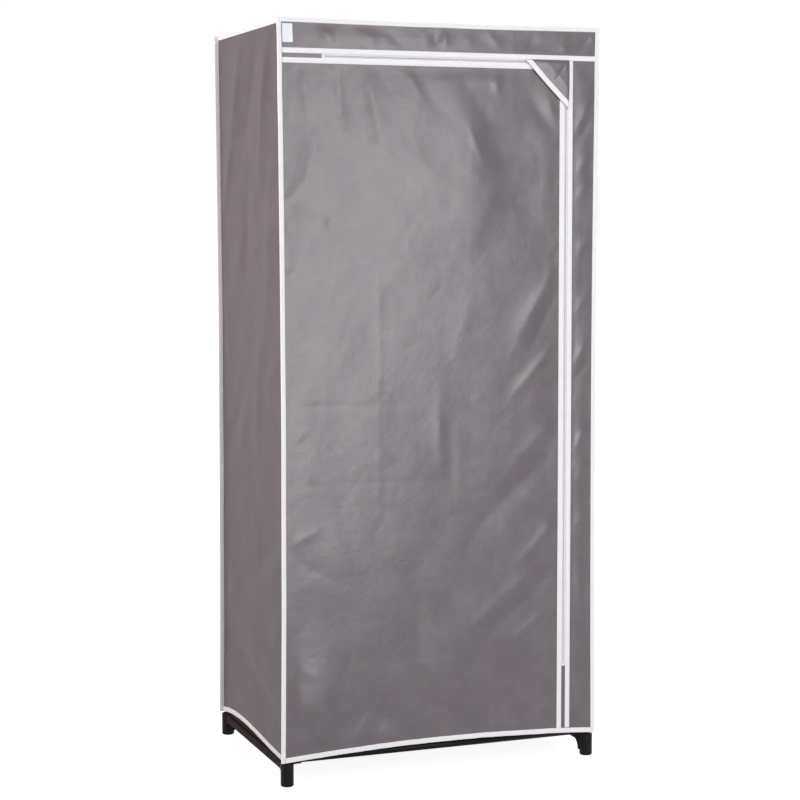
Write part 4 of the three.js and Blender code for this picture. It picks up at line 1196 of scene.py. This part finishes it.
def zip_half(name, run, across, node, group):
    """One half of a zip: the woven tape behind the cloth's edge, and the coil on the tape's inner edge."""
    enter = folding if group == "flap" else fixed
    across = np.asarray(across, float)
    points = path_between(*run)
    section = tape_section(9.7 * MM, 0.5 * MM, (), 0.05 * MM, -1.6 * MM)
    tape = sweep(name + "_tape", points + across * 0.27 * MM, across, OUT_FRONT, section, ZIP_TAPE_FINISH)
    enter(tape, "zip_coil", node)
    middle = drifted(points + across * 1.22 * MM + np.array([0, 0.35, 0]) * MM)
    coil = along_paths(
        name + "_coil", [middle], COIL, Pitch=1.5 * MM, Length=1.9 * MM, Height=0.55 * MM, Thread=0.42 * MM,
        Outward=OUT_FRONT, Seed=5, Lean=0.22, Finish=COIL_FINISH,
    )
    enter(coil, "zip_coil")
    # a woven cord holds the coil's inside, as on the real tape
    core = circle(0.5 * MM, 0.42 * MM, 8)
    enter(sweep(name + "_cord", middle, across, OUT_FRONT, core, ZIP_TAPE_FINISH, drift=False), "zip_coil")
    stitched(group, OUT_BACK, points + across * 6.2 * MM, 2.35 * MM)


def zip_stop(name, place, along):
    """The moulded stop across the end of a zip."""
    along = Vector(along)
    across = Vector((along.z, 0, -along.x))
    work = bmesh.new()
    bmesh.ops.create_cube(work, size=1)
    for v in work.verts:
        local = Vector((v.co.x * 3.6 * MM, v.co.y * 6.4 * MM, v.co.z * 2.2 * MM))
        v.co = Vector(place) + along * local.x + across * local.y + Vector((0, 0.75 * MM - local.z, 0))
    bmesh.ops.recalc_face_normals(work, faces=work.faces)
    bmesh.ops.bevel(work, geom=work.edges, offset=0.5 * MM, segments=3, affect="EDGES", profile=0.5)
    fixed(from_bmesh(name, work, COIL_FINISH), "zip_coil")


zip_half("zip_top_upper", TOP_RUN, OUT_UP, "zip_top_fixed", "fixed")
zip_half("zip_side_outer", SIDE_RUN, OUT_RIGHT, "zip_side_fixed", "fixed")
zip_half("zip_top_lower", TOP_RUN, OUT_DOWN, "zip_top_flap", "flap")
zip_half("zip_side_inner", SIDE_RUN, OUT_LEFT, "zip_side_flap", "flap")
zip_stop("zip_top_stop", (TOP_ZIP_END + 3 * MM, FRONT, ZIP_Z), OUT_RIGHT)
zip_stop("zip_side_stop", (ZIP_X, FRONT, SIDE_ZIP_END + 3 * MM), OUT_UP)


# sliders and pull tabs

def extruded(outline, shift, bevel):
    """A flat outline of 3-D points, carried along shift, with soft edges."""
    work = bmesh.new()
    face = work.faces.new([work.verts.new(point) for point in outline])
    grown = bmesh.ops.extrude_face_region(work, geom=[face])
    for v in [g for g in grown["geom"] if isinstance(g, bmesh.types.BMVert)]:
        v.co += Vector(shift)
    bmesh.ops.recalc_face_normals(work, faces=work.faces)
    rims = [e for e in work.edges if e.is_manifold and e.calc_face_angle(0) > 0.6]
    bmesh.ops.bevel(work, geom=rims, offset=bevel, segments=2, affect="EDGES", profile=0.6)
    return from_bmesh("plate", work, None)


def rounded(points, radius, count=5):
    """An outline with its corners rounded."""
    result = []
    total = len(points)
    for k in range(total):
        before, here, after = (Vector(points[(k + d) % total]) for d in (-1, 0, 1))
        a = (before - here).normalized() * radius
        b = (after - here).normalized() * radius
        for t in np.linspace(0, 1, count):
            p = here + a * (1 - t) ** 2 + b * t ** 2
            result.append((p.x, p.y))
    return result


def plate(half, radius, low, high, bevel):
    """A plate that is the same on both sides of its middle line: half is one side's (u, v), all in mm."""
    lower = [(u * MM, -v * MM) for u, v in half]
    upper = [(u * MM, v * MM) for u, v in reversed(half)]
    outline = [(u, v, low * MM) for u, v in rounded(lower + upper, radius * MM)]
    return extruded(outline, (0, 0, (high - low) * MM), bevel * MM)


# In the slider's own frame: u along the zip towards the corner, v across, n out of the front, in mm
FACE_LOW, FACE_HIGH = 1.0, 2.2
REAR_LOW, REAR_HIGH = -4.6, -3.4
PIN = 2.95
SLIDER_SHAPE = ((-11, 2.3), (-4, 2.9), (4, 3.4), (11, 3.3))
WEB_SHAPE = ((-4, 0.2), (4, 0.2))
BAIL_HALF = ((6.0, 2.0), (6.0, 3.3), (5.4, 4.2), (4.4, 4.5))
BAIL_ROOM = ((4.0, 3.7), (4.6, 3.2), (4.6, 2.0))
TAB_SHAPE = ((-0.45, 2.3), (7, 1.9), (14, 2.7), (24, 2.7))


def slider_parts():
    """A slider about its own middle: two plates, the web between them and the bail over the pin."""
    face = plate(SLIDER_SHAPE, 1.2, FACE_LOW, FACE_HIGH, 0.3)
    rear = plate(SLIDER_SHAPE, 1.2, REAR_LOW, REAR_HIGH, 0.3)
    web = plate(WEB_SHAPE, 0.15, REAR_LOW + 0.2, FACE_LOW + 0.4, 0.05)
    outer = [(-u, n) for u, n in BAIL_HALF] + list(reversed(BAIL_HALF))
    inner = list(reversed(BAIL_ROOM)) + [(-u, n) for u, n in BAIL_ROOM]
    arch = [(u * MM, -0.9 * MM, n * MM) for u, n in outer + inner]
    return [face, rear, web, extruded(arch, (0, 1.8 * MM, 0), 0.15 * MM)]


def pull_parts():
    """A pull tab from its pin along +u: a frame at the pin, a waisted plate, a window near its end."""
    tab = plate(TAB_SHAPE, 1.0, PIN - 0.4, PIN + 0.4, 0.12)
    room = plate(((0.55, 1.25), (6.5, 1.1)), 0.5, PIN - 2, PIN + 2, 0.05)
    window = plate(((16.5, 1.3), (21.5, 1.3)), 1.2, PIN - 2, PIN + 2, 0.05)
    return combined("tab", [tab], [room, window], METAL_FINISH)


def placed(obj, name, matrix):
    """Moves a piece from the slider's frame to its place on the front."""
    obj.data.transform(matrix)
    obj.name = name
    return outwards(obj)


def add_slider(name, node, pull_node, body, pull_body, along, across, pull_way):
    low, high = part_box(node)
    middle = ((low.x + high.x) / 2, FRONT, (low.z + high.z) / 2)
    slider = merged("slider", slider_parts(), METAL_FINISH)
    slider.data.shade_smooth()
    slider.data.set_sharp_from_angle(angle=math.radians(35))
    placed(slider, name + "_slider", frame_matrix(along, across, OUT_FRONT, middle))
    fixed(slider, "zip_metal", node, body=body)
    ways = [tuple(c * pull_way for c in axis) for axis in (along, across)]
    tab = placed(pull_parts(), name + "_pull", frame_matrix(*ways, OUT_FRONT, middle))
    fixed(tab, "zip_metal", pull_node, body=pull_body)


add_slider("top_zip", "zip_slider_top", "pull_tab_top", "slider_top", "pull_top", OUT_RIGHT, OUT_UP, 1)
add_slider("side_zip", "zip_slider_side", "pull_tab_side", "slider_side", "pull_side", OUT_UP, OUT_LEFT, -1)


# corner guard

GUARD_LEG = 98 * MM
GUARD_TOP = SLOT_TOP + 0.7 * MM
GUARD_RIGHT = SLOT_RIGHT + 0.7 * MM
GUARD_OUT = 6 * MM
GUARD_BULGE = 4.2 * MM


def clear_of_seam(sewn, length):
    return 1 - np.exp(-np.maximum(sewn, 0) / length)


def guard_rise(sewn):
    """The guard's outer face comes out from under the bindings and soon stands clear of the sliders."""
    return 0.9 * MM + (GUARD_OUT - 0.9 * MM) * clear_of_seam(sewn, 1.9 * MM)


def guard_height(x, z):
    down, left = GUARD_TOP - z, GUARD_RIGHT - x
    sewn = np.minimum(down, left)
    free = (GUARD_LEG - down - left) / math.sqrt(2)
    fold = 0.5 * MM * np.exp(-(np.abs(down - 0.45 * left - 3 * MM) / (5 * MM)) ** 1.5)
    dent = -0.6 * MM * np.exp(-(np.abs(down - 1.6 * left + 12 * MM) / (6 * MM)) ** 1.5)
    ripple = 0.4 * MM * noise(x / 0.024, z / 0.024, 101)
    calm = smooth(0.010, 0.022, free) * smooth(0, 0.012, sewn)
    bulge = GUARD_BULGE * smooth(0.004, 0.03, free) * clear_of_seam(sewn, 1.2 * MM)
    return guard_rise(sewn) + bulge + calm * (fold + np.maximum(dent + ripple, -0.4 * MM))


def bow(t):
    """How far the free edge bows out between its ends."""
    return 2.2 * MM * np.sin(math.pi * t)


def guard_place(u, v):
    # u runs down beside the strip's binding, v from there to the free edge
    down = u * GUARD_LEG
    reach = (1 - u) * GUARD_LEG + bow(u)
    x = GUARD_RIGHT - v * reach
    z = GUARD_TOP - down
    return drifted(np.stack([x, FRONT - guard_height(x, z), z], 1))


def make_guard():
    us = np.concatenate([np.linspace(0, 0.08, 12), np.linspace(0.1, 0.985, 40)])
    vs = np.linspace(0, 1, 44) ** 1.6
    guard = sheet_piece("corner_guard_cloth", us, vs, guard_place, CLOTH_FINISH, thickness=0.7 * MM)
    loops = guard.data.uv_layers["goods"].data
    shares = np.zeros(len(loops) * 2, np.float32)
    loops.foreach_get("uv", shares)
    loops.foreach_set("uv", (shares * GUARD_LEG).astype(np.float32))
    return fixed(outwards(guard), "cover_cloth", "corner_guard")


def make_guard_band():
    """The free edge's tape. Its ends are cut level below the header's binding and upright at the strip's."""
    t = np.concatenate([
        np.linspace(0, 0.08, 14), np.linspace(0.1, 0.9, 30), np.linspace(0.92, 1, 14),
    ])[:, None]
    down, left = t * GUARD_LEG, (1 - t) * GUARD_LEG + bow(t)
    height = guard_rise(np.minimum(down, (1 - t) * GUARD_LEG))
    across = (np.array([1, 0, 1]) + np.array([1, 0, -1]) * (1 - 2 * t)) / math.sqrt(2)
    edge = np.hstack([GUARD_RIGHT - left, FRONT - height, GUARD_TOP - down]) - across * 1.6 * MM
    band = sweep("guard_band", edge, across, OUT_FRONT, hem_section(), TAPE_FINISH)
    line = edge + across * (BAND - STITCH_IN)
    stitched("fixed", OUT_FRONT, line[6:-6], 1.15 * MM)
    return fixed(band, "white_tape", "guard_binding")


guard_cloth = make_guard()
guard_band = make_guard_band()


# label, left bare

def make_label():
    low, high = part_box("sewn_label")
    width, height = high.x - low.x, high.z - low.z

    def place(u, v):
        lift = 0.35 * MM + 0.15 * MM * np.sin(u / 0.021 * 5) * smooth(0, 0.03, 0.0365 - v)
        curl = 1.6 * MM * smooth(0.012, 0.021, u) * smooth(0.022, 0, v)
        return drifted(np.stack([low.x + u, FRONT - 0.7 * MM - lift - curl, low.z + v], 1))

    us, vs = steps(0, width, 0.0012), steps(0, height, 0.0015)
    cloth = outwards(sheet_piece("bare_label", us, vs, place, LABEL_FINISH, thickness=0.3 * MM))
    top, left = high.z - 1.6 * MM, low.x + 1.4 * MM
    for start, end in (
        ((low.x + 1 * MM, FRONT, top), (high.x - 1 * MM, FRONT, top)),
        ((left, FRONT, top), (left, FRONT, low.z + 2 * MM)),
    ):
        stitched("fixed", OUT_FRONT, [start, end], 1.15 * MM)
    return fixed(cloth, "label_cloth", "sewn_label")


label = make_label()


# stitches

WAYS = {OUT_FRONT: "front", OUT_BACK: "back", OUT_LEFT: "left", OUT_RIGHT: "right"}


def make_stitches():
    for group, lines in stitch_lines.items():
        for outward in sorted({way for way, _ in lines}):
            paths = [path for way, path in lines if way == outward]
            piece = along_paths(
                f"stitches_{group}_{WAYS[outward]}", paths, STITCHES, Pitch=3.2 * MM, Length=2.5 * MM,
                Height=0.5 * MM, Thread=0.2 * MM, Outward=outward, Seed=3, Lean=0.0, Finish=THREAD_FINISH,
            )
            enter = folding if group == "flap" else fixed
            enter(piece, "white_tape")


make_stitches()


# frame: tubes, couplings and the moulded ends

TUBE = 8 * MM  # outer radius of the tubes
BORE = 8.3 * MM  # of the sockets they stand in
BOSS = 9.5 * MM  # outer radius of a socket


def middle_of(node):
    low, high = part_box(node)
    return [(a + b) / 2 for a, b in zip(low, high)]


def tube(name, start, axis, length):
    b, inner = 0.4 * MM, 7 * MM
    profile = [(inner, 0), (TUBE - b, 0), (TUBE, b), (TUBE, length - b), (TUBE - b, length), (inner, length)]
    return from_bmesh(name, lathe(profile, start, axis, 40, closed=True), STEEL_FINISH, 50)


def coupling(name, start, length):
    """A sleeve with a ribbed outside, and a lip inside on which the two tubes meet."""
    half, lip, neck = length / 2, 7 * MM, BOSS - 0.5 * MM
    low = [
        (BOSS - 0.6 * MM, 0), (BOSS, 0.8 * MM), (BOSS, 4 * MM), (neck, 4.5 * MM), (neck, half - 3 * MM),
        (BOSS, half - 2.5 * MM),
    ]
    high = [(radius, length - along) for radius, along in reversed(low)]
    inside = [
        (BORE, length), (BORE, half + 1 * MM), (lip, half + 1 * MM), (lip, half - 1 * MM),
        (BORE, half - 1 * MM),
    ]
    profile = [(BORE, 0)] + low + high + inside
    return from_bmesh(name, lathe(profile, start, OUT_UP, 32, closed=True), PLASTIC_FINISH)


for node in ("base_rail_front", "base_rail_rear", "top_rail_front", "top_rail_rear", "hanging_rail"):
    low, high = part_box(node)
    piece = tube(node + "_tube", (low.x, *middle_of(node)[1:]), OUT_RIGHT, high.x - low.x)
    fixed(piece, "black_steel", node)
for corner in ("front_left", "front_right", "back_left", "back_right"):
    for node in ("post_lower_" + corner, "post_upper_" + corner):
        low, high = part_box(node)
        piece = tube(node + "_tube", (*middle_of(node)[:2], low.z), OUT_UP, high.z - low.z)
        fixed(piece, "black_steel", node)
    node = "post_coupling_" + corner
    low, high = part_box(node)
    piece = coupling("coupling_" + corner, (*middle_of(node)[:2], low.z), high.z - low.z)
    fixed(piece, "black_plastic", node)


POST_X = middle_of("post_lower_front_right")[0]
POST_YS = [middle_of("post_lower_" + corner)[1] for corner in ("front_right", "back_right")]
RAIL_Z = middle_of("base_rail_front")[2]
TOP_RAIL_Z = middle_of("top_rail_front")[2]
HANGER_Z = middle_of("hanging_rail")[2]
TOP_END_LOW, TOP_END_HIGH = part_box("top_end_right")
END_OUTER = TOP_END_HIGH.x
END_INNER = END_OUTER - 20 * MM
END_FRONT, END_BACK = TOP_END_LOW.y + 0.5 * MM, TOP_END_HIGH.y - 0.5 * MM
BOSS_INNER = END_INNER - 12 * MM
POCKET_DEPTH = 14 * MM
FOOT_X = HALF_WIDTH - 15 * MM
FOOT_YS = (FRONT + 11 * MM, BACK - 11 * MM)
FOOT_RADIUS = 13.5 * MM
FOOT_HEIGHT = 48 * MM
PAST = 30 * MM  # how far a bore's cutter starts outside its boss


def solid_bar(start, axis, radius, length, edge=0.5 * MM):
    high = length - edge
    profile = [
        (0, 0), (radius - edge, 0), (radius, edge), (radius, high), (radius - edge, length), (0, length),
    ]
    return from_bmesh("bar", lathe(profile, start, axis, 32), None)


def bore(start, axis, length):
    return solid_bar(start, axis, BORE, length, edge=0.1 * MM)


def quarter(count):
    return np.linspace(0, math.pi / 2, count)


def sockets(post_low, post_high, mouth, rail_z):
    """Bosses for two posts and two rails, and their bores."""
    adds, cuts = [], []
    for y in POST_YS:
        adds.append(solid_bar((POST_X, y, post_low), OUT_UP, BOSS, post_high - post_low))
        adds.append(solid_bar((BOSS_INNER, y, rail_z), OUT_RIGHT, 10 * MM, POST_X - BOSS_INNER))
        cuts.append(bore((POST_X, y, mouth), OUT_UP, 60 * MM))
        cuts.append(bore((BOSS_INNER - PAST, y, rail_z), OUT_RIGHT, END_INNER - BOSS_INNER + PAST))
    return adds, cuts


def pocket(y, half, low, high):
    """A lightening pocket in a moulding's inner face."""
    return block((END_INNER - 10 * MM, y - half, low), (END_INNER + POCKET_DEPTH, y + half, high))


def foot(y):
    r, bottom, shoulder = FOOT_RADIUS, 3.4 * MM, 2.5 * MM
    rounding = [(r - bottom * (1 - math.sin(t)), bottom * (1 - math.cos(t))) for t in quarter(7)]
    cap = [
        (r - shoulder * (1 - math.cos(t)), FOOT_HEIGHT - shoulder * (1 - math.sin(t))) for t in quarter(6)
    ]
    profile = [(0, 0)] + rounding + [(r - 0.15 * MM, 20 * MM)] + cap + [(0, FOOT_HEIGHT)]
    return from_bmesh("foot", lathe(profile, (FOOT_X, y, 0), OUT_UP, 56), None)


def side_rail():
    """The rail between two feet: a rounded bar whose underside runs down into each foot in a fillet."""
    start, end = FOOT_YS
    inner, outer = HALF_WIDTH - 29 * MM, HALF_WIDTH - 7 * MM
    half, under, fillet, corner = (outer - inner) / 2, 29.5 * MM, 20 * MM, 3.2 * MM
    into = FOOT_RADIUS - 2 * MM
    curve = into + fillet * (1 - np.cos(quarter(9)))
    ys = joined_steps([start, end], start + curve, end - curve, steps(start + 0.05, end - 0.05, 0.05))
    sections = []
    for y in ys:
        d = min(max(min(y - start, end - y) - into, 0), fillet)
        low = under - fillet + math.sqrt(max(0.0, fillet ** 2 - (fillet - d) ** 2))
        right = [(half - corner * (1 - math.sin(t)), low + corner * (1 - math.cos(t))) for t in quarter(5)]
        right += [
            (half - corner * (1 - math.cos(t)), FOOT_HEIGHT - corner * (1 - math.sin(t))) for t in quarter(5)
        ]
        sections.append(right + [(-a, o) for a, o in reversed(right)])
    centres = np.stack(np.broadcast_arrays((inner + outer) / 2, ys, 0.0), 1)
    return sweep("rail", centres, OUT_RIGHT, OUT_UP, np.array(sections), None, drift=False, sharp=35)


def base_end(name):
    top = RAIL_Z + TUBE
    body = block((END_INNER, END_FRONT, FOOT_HEIGHT - 2 * MM), (END_OUTER, END_BACK, top))
    bosses, cuts = sockets(FOOT_HEIGHT - 1 * MM, top + 28 * MM, top, RAIL_Z)
    adds = [side_rail(), foot(FOOT_YS[0]), foot(FOOT_YS[1]), body] + bosses
    for k in range(5):
        cuts.append(pocket(MIDDLE + (k - 2) * 66 * MM, 26 * MM, FOOT_HEIGHT + 2 * MM, top - 2.5 * MM))
    piece = combined(name, adds, cuts, RAIL_PAINTED_REFLECTION_FINISH)
    piece.data.materials.append(FOOT_FINISH)
    for face in piece.data.polygons:
        away = min(abs(face.center.y - y) for y in FOOT_YS)
        in_foot = math.hypot(face.center.x - FOOT_X, away) < FOOT_RADIUS + 0.3 * MM
        face.material_index = int(in_foot and face.center.z < FOOT_HEIGHT)
    return piece


def top_end(name):
    high, low = ROOF - 1.5 * MM, TOP_END_HIGH.z - 22 * MM
    body = block((END_INNER, END_FRONT, low), (END_OUTER, END_BACK, high))
    saddle = block(
        (END_INNER + 0.2 * MM, MIDDLE - 15 * MM, HANGER_Z - 13 * MM),
        (END_INNER + POCKET_DEPTH, MIDDLE + 15 * MM, high - 1 * MM),
    )
    bosses, bores = sockets(low - 30 * MM, high - 1 * MM, low - 60 * MM, TOP_RAIL_Z)
    cuts = [bore((END_INNER - PAST, MIDDLE, HANGER_Z), OUT_RIGHT, PAST + 9 * MM)] + bores
    for side in (-1, 1):
        for along in (55, 125):
            cuts.append(pocket(MIDDLE + side * along * MM, 28 * MM, low + 3 * MM, high - 3 * MM))
    return combined(name, [body, saddle] + bosses, cuts, PLASTIC_FINISH)


for maker, name, node in ((base_end, "base_moulding", "base_end"), (top_end, "top_moulding", "top_end")):
    right_end = maker(name + "_right")
    left_end = mirrored(right_end, name + "_left")
    fixed(right_end, "black_plastic", node + "_right")
    fixed(left_end, "black_plastic", node + "_left")


# stage: camera, light, floor

CAMERA_PLACE = (-1.51741, -3.99305, 1.15023)
CAMERA_YAW, CAMERA_PITCH, CAMERA_ROLL = 0.36145, 0.0821, -0.00123


def make_camera():
    yaw, pitch, roll = CAMERA_YAW, CAMERA_PITCH, CAMERA_ROLL
    level = math.cos(pitch)
    forward = Vector((math.sin(yaw) * level, math.cos(yaw) * level, -math.sin(pitch)))
    right = Vector((math.cos(yaw), -math.sin(yaw), 0))
    up = right.cross(forward)
    turned_right = right * math.cos(roll) + up * math.sin(roll)
    turned_up = up * math.cos(roll) - right * math.sin(roll)
    data = bpy.data.cameras.new("camera")
    data.sensor_width = 36
    data.lens = 89.53
    data.shift_y = -0.025
    camera = new_object("camera", data)
    camera.matrix_world = frame_matrix(turned_right, turned_up, -forward, CAMERA_PLACE)
    SCENE.camera = camera


def area_light(name, place, aim, size, power, colour=(1, 1, 1), roll=0.0, spread=180):
    data = bpy.data.lights.new(name, "AREA")
    data.shape = "RECTANGLE"
    data.size, data.size_y = size
    data.energy = power
    data.color = colour
    data.spread = math.radians(spread)
    lamp = new_object(name, data)
    lamp.location = place
    lamp.rotation_mode = "QUATERNION"
    facing = (Vector(aim) - Vector(place)).to_track_quat("-Z", "Y")
    lamp.rotation_quaternion = facing @ Quaternion((0, 0, 1), math.radians(roll))
    lamp.visible_camera = False


def seen_ray(w):
    """1 for rays that show the background: from the camera, from gloss and through clear things."""
    path = w.node("ShaderNodeLightPath").outputs
    shown = w.math("MAXIMUM", path["Is Camera Ray"], path["Is Glossy Ray"])
    return w.math("MAXIMUM", shown, path["Is Transmission Ray"])


def make_world():
    """A white world that is seen brighter than it lights."""
    world = bpy.data.worlds.new("studio")
    SCENE.world = world
    world.use_nodes = True
    world.node_tree.nodes.clear()
    w = Wires(world.node_tree)
    lit = w.first("ShaderNodeBackground", {"Color": (1.0, 0.99, 1.0, 1), "Strength": 0.64})
    shown = w.first("ShaderNodeBackground", {"Color": (1, 1, 1, 1), "Strength": 1.0})
    both = w.first("ShaderNodeMixShader", {0: seen_ray(w), 1: lit, 2: shown})
    w.node("ShaderNodeOutputWorld", {0: both})


def make_floor():
    """A floor as white as the background, on which the object's shadow still shows."""
    material, w, shader = finish("pale floor")
    w.fill(shader, {"Base Color": (0.3, 0.3, 0.3, 1), "Roughness": 0.9, "Specular IOR Level": 0.0})
    glow = w.first("ShaderNodeEmission", {"Strength": 0.91})
    total = w.first("ShaderNodeAddShader", {0: shader.outputs[0], 1: glow})
    mixed = w.first("ShaderNodeMixShader", {0: seen_ray(w), 1: shader.outputs[0], 2: total})
    output = [n for n in material.node_tree.nodes if n.type == "OUTPUT_MATERIAL"][0]
    w.fill(output, {0: mixed})
    work = bmesh.new()
    bmesh.ops.create_grid(work, x_segments=2, y_segments=2, size=120)
    ground = from_bmesh("ground", work, material)
    ground.location.z = -0.5 * MM


make_camera()
make_world()
make_floor()
area_light("key", (-0.9, -3.2, 2.7), (-0.1, -0.2, 0.9), (1.6, 1.6), 24)
area_light("gloss", (0.84, -3.3, 1.27), (-0.15, -0.2, 1.27), (0.42, 1.3), 28, roll=-16)
area_light("low gloss", (0.44, -3.3, 0.34), (-0.15, -0.2, 0.5), (0.45, 0.5), 15)
area_light("side", (-3.3, -0.3, 1.9), (-0.35, 0.05, 1.15), (0.9, 0.9), 10, (1.0, 0.87, 0.83), spread=60)
area_light("rear", (2.4, 3.4, 1.9), (0.1, 0.1, 0.8), (0.8, 1.4), 130)
SCENE.view_settings.view_transform = "Standard"

bpy.context.view_layer.update()
